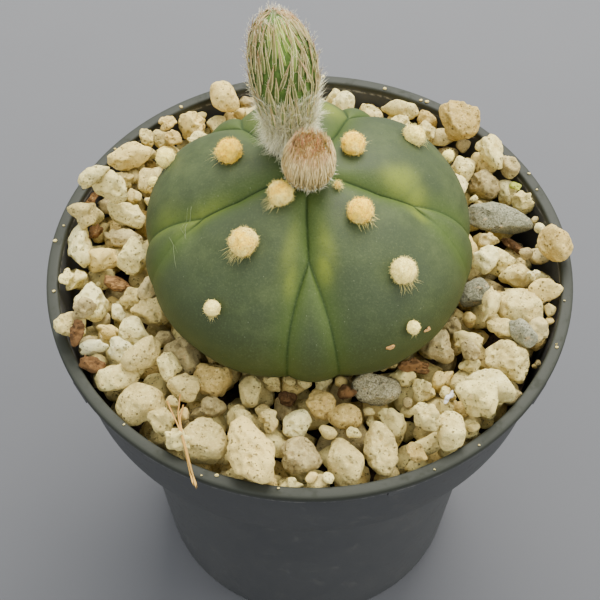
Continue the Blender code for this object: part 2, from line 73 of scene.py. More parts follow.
# %% Camera
CAMERA_DISTANCE = 251 * MM
CAMERA_RISE = math.radians(53.0)
CAMERA_AIM = (-1.74 * MM, -8.85 * MM, RIM_TOP)
LENS, SENSOR_WIDTH = 78.9, 36.0


def look_at(thing, target):
    """Turn a camera or a lamp towards a point."""
    thing.rotation_euler = (Vector(target) - thing.location).to_track_quat("-Z", "Y").to_euler()


camera_data = bpy.data.cameras.new("camera")
camera_data.sensor_width = SENSOR_WIDTH
camera_data.lens = LENS
camera = bpy.data.objects.new("camera", camera_data)
camera.location = (0.0, -CAMERA_DISTANCE * math.cos(CAMERA_RISE),
                   RIM_TOP + CAMERA_DISTANCE * math.sin(CAMERA_RISE))
look_at(camera, CAMERA_AIM)
bpy.context.scene.collection.objects.link(camera)
bpy.context.scene.camera = camera
print("camera at", [round(value, 3) for value in camera.location])

# %% [markdown]
# ## Nodes for the finishes
# Each finish below is a tree of shader nodes: noise for grain and stains, ramps that turn noise
# into masks, and mixes of colours. Such a tree could be drawn in the shader editor, but a few
# functions that add one node each keep it readable as text. An effect that several materials
# share is a node group, built once.

# %% Node helpers
def feed(tree, socket, value):
    """Link an output to a socket, or set the socket's own value."""
    if isinstance(value, bpy.types.NodeSocket):
        tree.links.new(value, socket)
    elif isinstance(value, tuple) and len(value) == 3 and socket.type == "RGBA":
        socket.default_value = (*value, 1.0)
    else:
        socket.default_value = value


def put(tree, kind, settings=(), **sockets):
    """Add a node with its settings and with what feeds its sockets; A_b means socket 'A b'."""
    made = tree.nodes.new(kind)
    for key, value in dict(settings).items():
        setattr(made, key, value)
    for key, value in sockets.items():
        feed(tree, made.inputs[key.replace("_", " ")], value)
    return made


print("nodes can be put and fed")

# %% Noise, ramps and mixes
def noise(tree, where, scale, detail=3.0, roughness=0.55):
    """Noise over the given coordinates, from 0 to 1."""
    made = put(tree, "ShaderNodeTexNoise", Vector=where, Scale=scale, Detail=detail,
               Roughness=roughness)
    return made.outputs["Fac"]


def ramp(tree, value, low, high, start=0.0, end=1.0):
    """Map low..high of a value to start..end, eased and clamped."""
    made = put(tree, "ShaderNodeMapRange", {"interpolation_type": "SMOOTHSTEP"}, Value=value,
               From_Min=low, From_Max=high, To_Min=start, To_Max=end)
    return made.outputs["Result"]


def maths(tree, operation, first, second=0.0):
    """One sum on two values."""
    made = put(tree, "ShaderNodeMath", {"operation": operation})
    feed(tree, made.inputs[0], first)
    feed(tree, made.inputs[1], second)
    return made.outputs[0]


def times(tree, first, second):
    """Two values multiplied."""
    return maths(tree, "MULTIPLY", first, second)


def blend(tree, amount, first, second):
    """Mix two colours: a Mix node has them at its sockets 6 and 7, and the result at 2."""
    made = put(tree, "ShaderNodeMix", {"data_type": "RGBA"})
    for number, value in ((0, amount), (6, first), (7, second)):
        feed(tree, made.inputs[number], value)
    return made.outputs[2]


def attribute(tree, name):
    """A value stored on the mesh's points."""
    return put(tree, "ShaderNodeAttribute", {"attribute_name": name}).outputs["Fac"]


print("noise, ramps and mixes ready")

# %% Groups and materials
def new_group(name, inputs, outputs):
    """An empty shader node group: itself, what comes in and what goes out."""
    group = bpy.data.node_groups.new(name, "ShaderNodeTree")
    for way, sockets in (("INPUT", inputs), ("OUTPUT", outputs)):
        for label, kind in sockets:
            group.interface.new_socket(label, in_out=way, socket_type=f"NodeSocket{kind}")
    return (group, group.nodes.new("NodeGroupInput").outputs,
            group.nodes.new("NodeGroupOutput").inputs)


def place_group(tree, group, **sockets):
    """Put a node group in a material with its own values."""
    return put(tree, "ShaderNodeGroup", {"node_tree": group}, **sockets).outputs


def new_material(name, roughness, specular=0.4):
    """A material with its Principled shader, and the piece's own coordinates in millimetres."""
    material = bpy.data.materials.new(name)
    material.use_nodes = True
    tree = material.node_tree
    shader = tree.nodes["Principled BSDF"]
    shader.inputs["Roughness"].default_value = roughness
    shader.inputs["Specular IOR Level"].default_value = specular
    where = put(tree, "ShaderNodeTexCoord").outputs["Object"]
    scaled = put(tree, "ShaderNodeVectorMath", {"operation": "SCALE"}, Vector=where,
                 Scale=1.0 / MM)
    return material, tree, shader, scaled.outputs["Vector"]


def finish(tree, shader, colour, relief=None, strength=1.0, depth=0.0):
    """Give a shader its colour, and its normal if the finish has a relief of some depth."""
    feed(tree, shader.inputs["Base Color"], colour)
    if relief is not None:
        made = put(tree, "ShaderNodeBump", Height=relief, Strength=strength, Distance=depth)
        feed(tree, shader.inputs["Normal"], made.outputs["Normal"])


print("groups and materials ready")

# %% Floor, sky and soft boxes
FLOOR_HALF = 4.0
SHADE_NEAR, SHADE_FAR = -230.0, 260.0
SKY_COLOUR = (0.93, 0.96, 1.0)
SKY_STRENGTH = 1.95
floor_mesh = bpy.data.meshes.new("floor")
floor_mesh.from_pydata([(FLOOR_HALF * x, FLOOR_HALF * y, 0.0) for x, y in (
    (-1, -1), (1, -1), (1, 1), (-1, 1))], [], [(0, 1, 2, 3)])
floor = bpy.data.objects.new("floor", floor_mesh)
bpy.context.scene.collection.objects.link(floor)
paper, paper_tree, paper_shader, paper_where = new_material("floor_paper", 0.95, 0.1)
paper_grain = noise(paper_tree, paper_where, 0.05, 2.0)
paper_depth = put(paper_tree, "ShaderNodeSeparateXYZ", Vector=paper_where).outputs["Y"]
paper_colour = blend(paper_tree, paper_grain, (0.121, 0.122, 0.126), (0.126, 0.127, 0.130))
# The paper is darker towards the front: painted shade, a fall-off of the light painted into the
# floor's colour.
finish(paper_tree, paper_shader,
       blend(paper_tree, ramp(paper_tree, paper_depth, SHADE_NEAR, SHADE_FAR),
             (0.078, 0.079, 0.083), paper_colour))
floor_mesh.materials.append(paper)

world = bpy.data.worlds.new("sky")
world.use_nodes = True
sky = world.node_tree.nodes["Background"].inputs
sky["Color"].default_value = (*SKY_COLOUR, 1.0)
sky["Strength"].default_value = SKY_STRENGTH
bpy.context.scene.world = world


def soft_box(name, place, target, size, power, colour):
    """A square area lamp that looks at a target."""
    lamp_data = bpy.data.lights.new(name, "AREA")
    lamp_data.size = size
    lamp_data.energy = power
    lamp_data.color = colour
    lamp = bpy.data.objects.new(name, lamp_data)
    lamp.location = place
    look_at(lamp, target)
    bpy.context.scene.collection.objects.link(lamp)


soft_box("soft_box_over", (0.10, 0.43, 0.72), (0.0, 0.0, 0.08), 0.50, 15.5, (1.0, 0.98, 0.94))
soft_box("soft_box_right", (0.75, -0.1, 0.5), (0.0, 0.0, 0.06), 0.5, 4.0, (1.0, 0.97, 0.92))
print("floor, sky and two soft boxes")

# %% [markdown]
# ## Numbers, noise and pieces
# Three small tools serve all that follows. Seeded random numbers give the same plant on every
# run. The noise works on arrays of points, for real bumps in the meshes. And one function turns
# arrays into a mesh object that rides on the CAD body, with the values and the map it carries.

# %% Mesh helpers
def random_numbers(seed):
    """A seeded source of random numbers."""
    return np.random.default_rng(seed)


def random_turns(rng, count=None):
    """Random angles all the way round."""
    return rng.uniform(0.0, 2 * math.pi, count)


def unit(vectors):
    """Vectors of length one."""
    return vectors / np.maximum(np.linalg.norm(vectors, axis=-1, keepdims=True), 1e-12)


def scattered(rng, ways, spread):
    """Directions near the given ways."""
    return unit(ways + rng.normal(0.0, 1.0, ways.shape) * spread)


def ease(values, low, high):
    """0 below low, 1 above high, and eased between."""
    share = np.clip((values - low) / (high - low), 0.0, 1.0)
    return share * share * (3.0 - 2.0 * share)


HASH_FACTORS = (73856093, 19349663, 83492791)
HASH_SEED, HASH_MIX = 2654435761, 1274126177
FAR_CELLS = 1000.0


def lumps(points, span, seed):
    """Smooth noise from -1 to 1, with lumps of about one span."""
    cells = points / span + FAR_CELLS
    corner = np.floor(cells).astype(np.int64)
    share = cells - corner
    share = share * share * (3.0 - 2.0 * share)
    total = np.zeros(len(points))
    for step in itertools.product((0, 1), repeat=3):
        x, y, z = ((corner + np.array(step)) * HASH_FACTORS).T
        key = x ^ y ^ z ^ (seed * HASH_SEED)
        key = (key ^ (key >> 13)) * HASH_MIX
        value = ((key ^ (key >> 16)) & 0xFFFF) / 32767.5 - 1.0
        total += value * np.prod(np.where(step, share, 1.0 - share), axis=1)
    return total


print("numbers and noise ready")

# %% Making a piece
def add_piece(name, points, faces, material, replaces=(), values=(), uv=None):
    """Make a smooth mesh object from arrays, and let it ride on the CAD body."""
    mesh = bpy.data.meshes.new(name)
    face_lists = [face for group in faces for face in group.tolist()]
    mesh.from_pydata(points.tolist(), [], face_lists)
    for key, numbers in dict(values).items():
        layer = mesh.attributes.new(key, "FLOAT", "POINT")
        layer.data.foreach_set("value", np.asarray(numbers, dtype=np.float32))
    if uv is not None:
        mesh.uv_layers.new(name="OFBake").data.foreach_set("uv", uv.astype(np.float32).ravel())
    mesh.shade_smooth()
    mesh.materials.append(material)
    piece = bpy.data.objects.new(name, mesh)
    bpy.context.scene.collection.objects.link(piece)
    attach(piece, "root")
    if replaces:
        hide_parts(*replaces)
    corners = sum(len(face) - 2 for face in face_lists)
    print(f"{name}: {corners} triangles")
    return piece


def repeated(triangles, size, count):
    """The triangles of count equal meshes of size points, one after another."""
    return np.vstack([triangles + size * number for number in range(count)])


def grid_faces(rows, columns):
    """Quads over rows of points, with the last column joined to the first."""
    row = np.arange(rows - 1)[:, None] * columns
    first = np.arange(columns)[None, :]
    second = (first + 1) % columns
    return np.stack([row + first, row + columns + first, row + columns + second, row + second],
                    axis=-1).reshape(-1, 4)


def end_caps(rows, columns):
    """Triangles that close the first and last rows of a grid, on two points that follow it."""
    ring = np.arange(columns)
    after = (ring + 1) % columns
    last = (rows - 1) * columns
    return (np.stack([np.full(columns, rows * columns), ring, after], axis=1),
            np.stack([np.full(columns, rows * columns + 1), last + after, last + ring], axis=1))


print("pieces and grids ready")

# %% Reading CAD nodes
def node_points(name):
    """The corners of a CAD node."""
    vertices = frame["nodes"][name].data.vertices
    flat = np.empty(len(vertices) * 3)
    vertices.foreach_get("co", flat)
    return flat.reshape(-1, 3)


def node_axes(name):
    """Middle, three axes from longest to shortest, and full sizes along them, of a node."""
    points = node_points(name)
    middle = points.mean(axis=0)
    axes = np.linalg.svd(points - middle, full_matrices=False)[2]
    if np.linalg.det(axes) < 0.0:
        axes[2] = -axes[2]
    along = (points - middle) @ axes.T
    low, high = along.min(axis=0), along.max(axis=0)
    return middle + ((low + high) / 2) @ axes, axes, high - low


print(len(frame["nodes"]), "CAD nodes to dress")

# %% [markdown]
# ## The pot
# The real pot is moulded in thin black plastic, with a rolled lip, a deep collar and a narrower
# body. A turned outline is the natural way to make it: the outline below runs from the middle
# of the floor up the inside and down the outside, and is swept round. Rounded corners are
# points on the outline, because they catch a thin line of light. The tabs under the lip and the
# drain holes are joined and cut with Booleans on the finished mesh.

# %% Pot sizes
POT_STEPS = 160
LIP_HEIGHT = 1.8 * MM
LIP_WIDTH = 2.3 * MM
LIP_OVERHANG = 1.1 * MM
WALL = 1.3 * MM
COLLAR_FOOT = RIM_TOP - 20.5 * MM
COLLAR_FOOT_RADIUS = 46.3 * MM
SHOULDER = COLLAR_FOOT - 4.5 * MM
SHOULDER_RADIUS = 38.6 * MM
FOOT_RADIUS = 33.8 * MM
FOOT_RING = 4.5 * MM
FOOT_RISE = 2.0 * MM
FLOOR_TOP = FOOT_RISE + 1.6 * MM
TAB_TURNS = (123.0, 176.0, 214.0, 289.0, 327.0)
TAB_SIZE = (1.6 * MM, 5.0 * MM, 1.4 * MM)
TAB_REACH = RIM_RADIUS - 1.0 * MM
TAB_LEVEL = RIM_TOP - 2.3 * MM
OVAL, TREFOIL = 0.0008, 0.0005
DRAIN_HOLES, DRAIN_RADIUS, DRAIN_CIRCLE = 6, 3.5 * MM, 20.0 * MM


def rounded(outline, radius, steps=4):
    """Replace each inner corner of an outline by a short curve."""
    smooth = [outline[0]]
    for before, corner, after in zip(outline, outline[1:], outline[2:]):
        before, corner, after = map(np.array, (before, corner, after))
        reach = min(radius, np.linalg.norm(before - corner) / 2.2,
                    np.linalg.norm(after - corner) / 2.2)
        start = corner + unit(before - corner) * reach
        end = corner + unit(after - corner) * reach
        for share in np.linspace(0.0, 1.0, steps):
            curve = start * (1 - share) ** 2 + corner * 2 * share * (1 - share) + end * share ** 2
            smooth.append(tuple(curve))
    smooth.append(outline[-1])
    return smooth


def evenly(outline, longest):
    """Add points so that no stretch of an outline is longer than asked."""
    dense = [outline[0]]
    for start, end in zip(outline, outline[1:]):
        parts = max(1, math.ceil(math.dist(start, end) / longest))
        for number in range(1, parts + 1):
            share = number / parts
            dense.append(tuple(np.array(start) * (1 - share) + np.array(end) * share))
    return dense


print("corners can be rounded")

# %% Pot outline
outside_collar = RIM_RADIUS - LIP_OVERHANG
pot_outline = [
    (0.0, FLOOR_TOP), (FOOT_RADIUS - WALL, FLOOR_TOP), (SHOULDER_RADIUS - WALL, SHOULDER),
    (COLLAR_FOOT_RADIUS - WALL, COLLAR_FOOT + 0.5 * MM),
    (RIM_RADIUS - LIP_WIDTH, RIM_TOP - LIP_HEIGHT), (RIM_RADIUS - LIP_WIDTH, RIM_TOP),
    (RIM_RADIUS, RIM_TOP), (RIM_RADIUS, RIM_TOP - LIP_HEIGHT),
    (outside_collar, RIM_TOP - LIP_HEIGHT - 0.1 * MM), (COLLAR_FOOT_RADIUS, COLLAR_FOOT),
    (SHOULDER_RADIUS, SHOULDER), (FOOT_RADIUS, 0.0), (FOOT_RADIUS - FOOT_RING, 0.0),
    (FOOT_RADIUS - FOOT_RING - 0.4 * MM, FOOT_RISE), (0.0, FOOT_RISE)]
pot_outline = evenly(rounded(pot_outline, 0.55 * MM), 4.0 * MM)
print(len(pot_outline), "points down the pot's outline")

# %% Pot plastic
plastic, tree, shader, where = new_material("worn_black_plastic", 0.7, 0.2)
height = put(tree, "ShaderNodeSeparateXYZ", Vector=where).outputs["Z"]
flow = noise(tree, where, 0.06, 4.0)
grain = noise(tree, where, 2.2, 5.0, 0.7)
dust = ramp(tree, noise(tree, where, 0.32, 6.0, 0.72), 0.5, 0.72)
lip_edge = times(tree, *(ramp(tree, height, (RIM_TOP - low * MM) / MM, (RIM_TOP - high * MM) / MM)
                         for low, high in ((2.05, 1.6), (1.2, 1.55))))
lip_top = ramp(tree, height, (RIM_TOP - 1.7 * MM) / MM, (RIM_TOP - 0.4 * MM) / MM)
worn = times(tree, lip_edge, ramp(tree, noise(tree, where, 0.9, 4.0), 0.42, 0.6))
black = blend(tree, flow, (0.040, 0.042, 0.044), (0.060, 0.061, 0.059))
for mask, amount, tint in ((dust, 0.25, (0.11, 0.105, 0.09)), (lip_top, 0.9, (0.022, 0.024, 0.015)),
                           (worn, 0.6, (0.30, 0.29, 0.26))):
    black = blend(tree, times(tree, mask, amount), black, tint)
finish(tree, shader, black, maths(tree, "ADD", grain, times(tree, flow, 3.0)), 0.25, 0.05 * MM)
feed(tree, shader.inputs["Roughness"],
     ramp(tree, maths(tree, "ADD", grain, dust), 0.4, 1.6, 0.58, 0.85))
print("plastic mixed")

# %% Pot mesh
def turned_points(outline, steps):
    """Points of an outline swept round, row by row."""
    angles = np.linspace(0.0, 2 * math.pi, steps, endpoint=False)
    radii, levels = np.array(outline).T
    return np.stack([radii[:, None] * np.cos(angles), radii[:, None] * np.sin(angles),
                     np.repeat(levels[:, None], steps, axis=1)], axis=-1).reshape(-1, 3)


def boolean_with(piece, tool, operation):
    """Join a tool to a piece or cut it away, for good."""
    change = piece.modifiers.new(operation, "BOOLEAN")
    change.operation = operation
    change.object = tool
    graph = bpy.context.evaluated_depsgraph_get()
    made = bpy.data.meshes.new_from_object(piece.evaluated_get(graph))
    piece.modifiers.remove(change)
    piece.data = made
    bpy.data.objects.remove(tool)


pot_points = turned_points(pot_outline[1:-1], POT_STEPS)
turn = np.arctan2(pot_points[:, 1], pot_points[:, 0])
sway = OVAL * np.sin(2 * turn + 0.7) + TREFOIL * np.sin(3 * turn)
body_share = ease(RIM_TOP - pot_points[:, 2], LIP_HEIGHT, 18 * MM)
pot_points[:, :2] *= (1.0 + (sway * body_share))[:, None]
rows = len(pot_outline) - 2
pot_points = np.vstack([pot_points, [(0.0, 0.0, pot_outline[end][1]) for end in (0, -1)]])
pot = add_piece("pot_shell", pot_points, [grid_faces(rows, POT_STEPS), *end_caps(rows, POT_STEPS)],
                plastic, ["pot"])
for degrees in TAB_TURNS:
    angle = math.radians(degrees)
    bpy.ops.mesh.primitive_cube_add(size=1.0)
    tab = bpy.context.active_object
    tab.scale = TAB_SIZE
    tab.rotation_euler = (0.0, 0.0, angle)
    tab.location = (TAB_REACH * math.cos(angle), TAB_REACH * math.sin(angle), TAB_LEVEL)
    boolean_with(pot, tab, "UNION")
for number in range(DRAIN_HOLES):
    angle = 2 * math.pi * number / DRAIN_HOLES
    bpy.ops.mesh.primitive_cylinder_add(vertices=32, radius=DRAIN_RADIUS, depth=16 * MM)
    drill = bpy.context.active_object
    drill.location = (DRAIN_CIRCLE * math.cos(angle), DRAIN_CIRCLE * math.sin(angle), 0.0)
    boolean_with(pot, drill, "DIFFERENCE")
pot.data.set_sharp_from_angle(angle=math.radians(40.0))
print("pot mesh has", len(pot.data.polygons), "faces")

# %% [markdown]
# ## The soil
# Little of the potting mix is seen: it shows through the drain holes, and as darkness far down
# between the grains. The CAD solid has the right shape, so it stays and only gets a material.

# %% Soil finish
earth, tree, shader, where = new_material("potting_mix", 0.95, 0.15)
crumb = noise(tree, where, 0.9, 6.0, 0.7)
fibre = noise(tree, where, 3.5, 3.0)
mix = blend(tree, ramp(tree, crumb, 0.35, 0.65), (0.012, 0.008, 0.005), (0.075, 0.045, 0.026))
mix = blend(tree, ramp(tree, fibre, 0.66, 0.74), mix, (0.22, 0.15, 0.08))
finish(tree, shader, mix, crumb, 0.9, 0.6 * MM)
soil = frame["nodes"]["soil"]
soil.data.materials.clear()
soil.data.materials.append(earth)
print("soil dressed")

# %% [markdown]
# ## The cactus body
# The body is a low dome with five ribs. Each furrow between two ribs runs from the crown
# outwards and forks halfway, where a young rib swells up between the arms. A sculpted or
# subdivided ball would blur the creases, so the skin is a formula of two angles: the turn round
# the plant, and the fall from its crown. The columns of the mesh follow the creases, so each
# crease is a row of real edges and stays sharp at any size.

# %% Sizes of the body
BODY_RADIUS = 31.0 * MM
BODY_CROWN = 19.6 * MM
BODY_UNDER = 15.0 * MM
BODY_MIDDLE = np.array([-0.3 * MM, 0.1 * MM, RIM_TOP + 7.6 * MM])
FURROW_DEPTH = 2.6 * MM
CROWN_DIP = 0.9 * MM
UNDERSIDE_FALL = 150.0
# Turn at the crown, turn and fall of the fork, turn at the widest level, spread of the arms,
# and which arm is the fainter one: -1 the first, 1 the second, 0 neither.
Furrow = namedtuple("Furrow", "crown_turn fork_turn fork_fall low_turn spread fainter")
FURROWS = (Furrow(264.0, 270.5, 34.0, 272.0, 9.0, 0), Furrow(339.0, 351.0, 40.0, 349.5, 8.8, -1),
           Furrow(61.0, 69.0, 44.0, 71.0, 8.5, 0), Furrow(141.0, 128.0, 44.0, 124.0, 8.5, 0),
           Furrow(205.0, 197.5, 42.0, 193.5, 8.5, 1))
RIB_REACH = 30.0
FORK_REACH = 15.0
FADE_REACH = 16.0
WEDGE_RISE = 0.62
FAINT_ARM = 0.55
# Radius and depth under the rim of each ring of the root, in mm.
TAPROOT = ((10.5, 13.0), (7.0, 19.0), (5.2, 27.0), (3.2, 37.0), (1.4, 45.0))
print(len(FURROWS), "furrows")

# %% Depth of the furrows
def furrow_turn(furrow, fall):
    """Middle line of a furrow at a fall from the crown, in degrees."""
    near = 1.0 - (1.0 - np.clip(fall / furrow.fork_fall, 0.0, 1.0)) ** 1.5
    beyond = np.clip((fall - furrow.fork_fall) / (90.0 - furrow.fork_fall), 0.0, 1.3)
    return (furrow.crown_turn + (furrow.fork_turn - furrow.crown_turn) * near
            + (furrow.low_turn - furrow.fork_turn) * beyond)


def fork_spread(furrow, fall):
    """Half the angle between the two arms of a forked furrow."""
    past = np.clip(fall - furrow.fork_fall, 0.0, None)
    return furrow.spread * (1.0 - np.exp(-past / FORK_REACH))


def aside(turn, middle):
    """Smallest angle between two turns."""
    return np.abs((turn - middle + 180.0) % 360.0 - 180.0)


def arm_strength(furrow, turn, fall):
    """1 on an arm of full depth, less on the fainter arm, and graded between them."""
    offset = (turn - furrow_turn(furrow, fall) + 180.0) % 360.0 - 180.0
    across = offset / np.maximum(fork_spread(furrow, fall), 0.5) * furrow.fainter
    return 1.0 - abs(furrow.fainter) * FAINT_ARM * np.clip((across + 1.0) / 2, 0.0, 1.0) * ease(
        fall, furrow.fork_fall, furrow.fork_fall + FADE_REACH)


def furrow_sink(turn, fall):
    """How deep the skin lies below the smooth dome."""
    depth = FURROW_DEPTH * np.clip(fall / 26.0, 0.0, 1.0) ** 1.2
    depth = depth * (1.0 - 0.42 * np.clip((fall - 45.0) / 45.0, 0.0, 1.0))
    depth = depth * (1.0 - ease(fall, 105.0, 140.0))
    deepest = np.zeros(np.broadcast(turn, fall).shape)
    for furrow in FURROWS:
        away = aside(turn, furrow_turn(furrow, fall))
        spread = fork_spread(furrow, fall)
        outer = (1.0 - np.clip((away - spread) / RIB_REACH, 0.0, 1.0)) ** 2.6
        rise = WEDGE_RISE * spread / furrow.spread
        wedge = 1.0 - rise * (1.0 - np.clip(away / np.maximum(spread, 1e-6), 0.0, 1.0) ** 2.2)
        deepest = np.maximum(deepest, depth * arm_strength(furrow, turn, fall)
                             * np.where(away >= spread, outer, wedge))
    return deepest


print("furrow depth beside the fork:", round(float(furrow_sink(270.5, 34.0)) / MM, 2), "mm")

# %% Places on the skin
def skin_point(turn, fall, lift=0.0):
    """Points on the cactus, or a lift above its skin."""
    angle, slope = np.radians(turn), np.radians(fall)
    rise = np.where(np.asarray(fall) < 90.0, BODY_CROWN, BODY_UNDER)
    out = unit(np.stack([np.sin(slope) / BODY_RADIUS, np.cos(slope) / rise], axis=-1))
    sink = furrow_sink(turn, fall) + CROWN_DIP * np.exp(-((fall / 9.0) ** 2)) - lift
    radius = BODY_RADIUS * np.sin(slope) - sink * out[..., 0]
    level = rise * np.cos(slope) - sink * out[..., 1]
    return BODY_MIDDLE + np.stack([radius * np.cos(angle), radius * np.sin(angle), level], axis=-1)


def skin_normal(turn, fall):
    """The way out of the skin."""
    along = skin_point(turn + 0.5, fall) - skin_point(turn - 0.5, fall)
    down = skin_point(turn, fall + 0.5) - skin_point(turn, fall - 0.5)
    return unit(np.cross(down, along))


def skin_place(point):
    """Turn and fall of a point close to the skin."""
    offset = point - BODY_MIDDLE
    reach = math.hypot(offset[0], offset[1])
    return (math.degrees(math.atan2(offset[1], offset[0])) % 360.0,
            math.degrees(math.atan2(reach / BODY_RADIUS, offset[2] / BODY_CROWN)))


print("crown of the skin", round(float(skin_point(0.0, 0.0)[2]) / MM, 1), "mm up")

# %% Cactus mesh
RIB_COLUMNS, WEDGE_COLUMNS = 54, 20
CROWN_ROWS, SIDE_ROWS, UNDER_ROWS = 8, 116, 12
CREASE_HALF_WIDTH = 0.45
WAVE, WAVE_SPAN = 0.12 * MM, 9 * MM
RIPPLE, RIPPLE_SPAN = 0.035 * MM, 2.6 * MM
ROOT_TIP = RIM_TOP - 47.5 * MM


def crease_columns(fall):
    """Turns of every column at one fall, with columns exactly on both arms of each furrow."""
    middles = [furrow_turn(furrow, fall) for furrow in FURROWS]
    spreads = [max(fork_spread(furrow, fall), CREASE_HALF_WIDTH) for furrow in FURROWS]
    middles = [middle + (360.0 if middle < middles[0] - 1.0 else 0.0) for middle in middles]
    columns = []
    for number, (middle, spread) in enumerate(zip(middles, spreads)):
        following = (number + 1) % len(FURROWS)
        next_arm = middles[following] - spreads[following] + (0.0 if following else 360.0)
        columns.append(np.linspace(middle - spread, middle + spread, WEDGE_COLUMNS,
                                   endpoint=False))
        share = np.linspace(0.0, 1.0, RIB_COLUMNS, endpoint=False)
        share = share - 0.08 * np.sin(2 * math.pi * share)
        columns.append(middle + spread + (next_arm - middle - spread) * share)
    return np.concatenate(columns)


falls = np.concatenate([np.linspace(0.6, 8.0, CROWN_ROWS), np.linspace(9.0, 118.0, SIDE_ROWS),
                        np.linspace(121.0, UNDERSIDE_FALL, UNDER_ROWS)])
turns = np.stack([crease_columns(fall) for fall in falls])
fall_grid = np.repeat(falls[:, None], turns.shape[1], axis=1)
skin = skin_point(turns, fall_grid).reshape(-1, 3)
swell = WAVE * lumps(skin, WAVE_SPAN, 3) + RIPPLE * lumps(skin, RIPPLE_SPAN, 4)
skin = skin + skin_normal(turns, fall_grid).reshape(-1, 3) * swell[:, None]
angles = np.radians(turns[-1])
root = [np.stack([BODY_MIDDLE[0] + radius * MM * np.cos(angles),
                  BODY_MIDDLE[1] + radius * MM * np.sin(angles),
                  np.full(len(angles), RIM_TOP - deep * MM)], axis=-1) for radius, deep in TAPROOT]
skin = np.vstack([skin, *root, skin_point(np.array([0.0]), np.array([0.0])),
                  [BODY_MIDDLE * (1, 1, 0) + (0, 0, ROOT_TIP)]])
columns = turns.shape[1]
rows = len(falls) + len(TAPROOT)
print(len(skin), "points of skin in", columns, "columns")

# %% [markdown]
# ## Colours of the skin
# The skin is a dusky grey-green, yellower where it was shaded, and olive towards the soil, where
# painted shade also darkens it. Lime patches lie along the furrows, and each crease is a fine dark
# line of painted shade. Such colours belong to places on the plant, so the script works out how
# strong each one is at every point of the mesh and stores it there. The material then reads those
# values and breaks them up with noise.

# %% Skin values
# Turn, fall, reach across and reach along in degrees, and strength, of each lime patch.
LIME_PATCHES = ((259.0, 31.0, 6.5, 13.0, 0.55), (261.5, 41.0, 3.8, 10.0, 0.65),
                (281.5, 30.0, 7.0, 11.0, 0.62), (279.0, 37.0, 5.0, 7.5, 0.85),
                (2.0, 32.0, 12.0, 9.0, 0.90), (355.0, 40.0, 10.0, 7.0, 0.75),
                (79.0, 41.0, 10.0, 11.0, 0.85), (196.0, 42.0, 8.0, 16.0, 0.55),
                (345.0, 42.0, 4.5, 6.0, 0.7), (187.0, 60.0, 9.0, 14.0, 0.45),
                (118.0, 40.0, 9.0, 14.0, 0.5))
CREASE_WIDTH, BESIDE_WIDTH = 0.48, 5.0
flat_turn, flat_fall = turns.ravel(), fall_grid.ravel()
crease, beside, lime = np.zeros((3, len(flat_turn)))
# Along each crease runs a fine dark line of painted shade, weaker on the fainter arm.
for furrow in FURROWS:
    away = aside(flat_turn, furrow_turn(furrow, flat_fall))
    off_arm = np.abs(away - fork_spread(furrow, flat_fall)) * np.sin(np.radians(flat_fall))
    faint = arm_strength(furrow, flat_turn, flat_fall) ** 2
    crease = np.maximum(crease, np.exp(-((off_arm / CREASE_WIDTH) ** 2)) * faint)
    beside = np.maximum(beside, np.exp(-((off_arm / BESIDE_WIDTH) ** 2)))
for turn, fall, across, down, strength in LIME_PATCHES:
    gap = (aside(flat_turn, turn) / across) ** 2 + ((flat_fall - fall) / down) ** 2
    lime = np.maximum(lime, strength * np.exp(-gap))
padding = len(skin) - len(flat_turn)
skin_values = {"crease": crease * ease(flat_fall, 6.0, 16.0), "beside": beside, "lime": lime,
               "low": ease(flat_fall, 58.0, 100.0)}
skin_values = {key: np.concatenate([value, np.zeros(padding)])
               for key, value in skin_values.items()}
print("lime covers", round(float((lime > 0.4).mean()) * 100, 1), "% of the points")

# %% Skin material
waxy, tree, shader, where = new_material("cactus_skin", 0.55, 0.2)
broad = noise(tree, where, 0.07, 3.0)
cloud = noise(tree, where, 0.35, 5.0, 0.65)
fine = noise(tree, where, 2.6, 4.0, 0.7)
speck = put(tree, "ShaderNodeTexVoronoi", Vector=where, Scale=1.5).outputs["Distance"]
dusky = blend(tree, ramp(tree, cloud, 0.35, 0.65), (0.036, 0.051, 0.016), (0.051, 0.069, 0.022))
dusky = blend(tree, ramp(tree, broad, 0.4, 0.62), dusky, (0.034, 0.048, 0.018))
patch = times(tree, attribute(tree, "lime"), ramp(tree, cloud, 0.2, 0.6, 0.75, 1.0))
flecks = times(tree, ramp(tree, speck, 0.16, 0.07),
               ramp(tree, noise(tree, where, 0.9, 2.0), 0.6, 0.68))
green = dusky
# The crease mask paints shade as a dark line in each crease; the low mask turns the lower skin
# olive and also darker, as painted shade.
for mask, tint in ((times(tree, attribute(tree, "beside"), 0.7), (0.052, 0.084, 0.009)),
                   (times(tree, attribute(tree, "low"), 0.75), (0.038, 0.046, 0.008)),
                   (ramp(tree, patch, 0.02, 1.15), (0.150, 0.182, 0.017)),
                   (times(tree, attribute(tree, "crease"), 0.95), (0.014, 0.032, 0.002)),
                   (times(tree, flecks, 0.55), (0.25, 0.275, 0.17)),
                   (ramp(tree, fine, 0.50, 0.72, 0.0, 0.42), (0.092, 0.112, 0.046)),
                   (ramp(tree, fine, 0.48, 0.28, 0.0, 0.42), (0.022, 0.032, 0.008))):
    green = blend(tree, mask, green, tint)
finish(tree, shader, green, fine, 0.5, 0.09 * MM)
feed(tree, shader.inputs["Roughness"], ramp(tree, fine, 0.3, 0.75, 0.52, 0.68))
add_piece("cactus_ribs", skin, [grid_faces(rows, columns), *end_caps(rows, columns)], waxy,
          ["cactus_body"], skin_values)

# %% [markdown]
# ## Pumice
# Each grain is a ball cut by random planes, which leaves flat faces with softened edges, and is
# then bent in and out by noise and pocked with pits. Scanned stones would look as good but
# couldn't be made from a formula, and a plain displaced ball looks like a potato, because it
# has no faces. The large grains stand where the CAD model has them and keep its size and tilt.

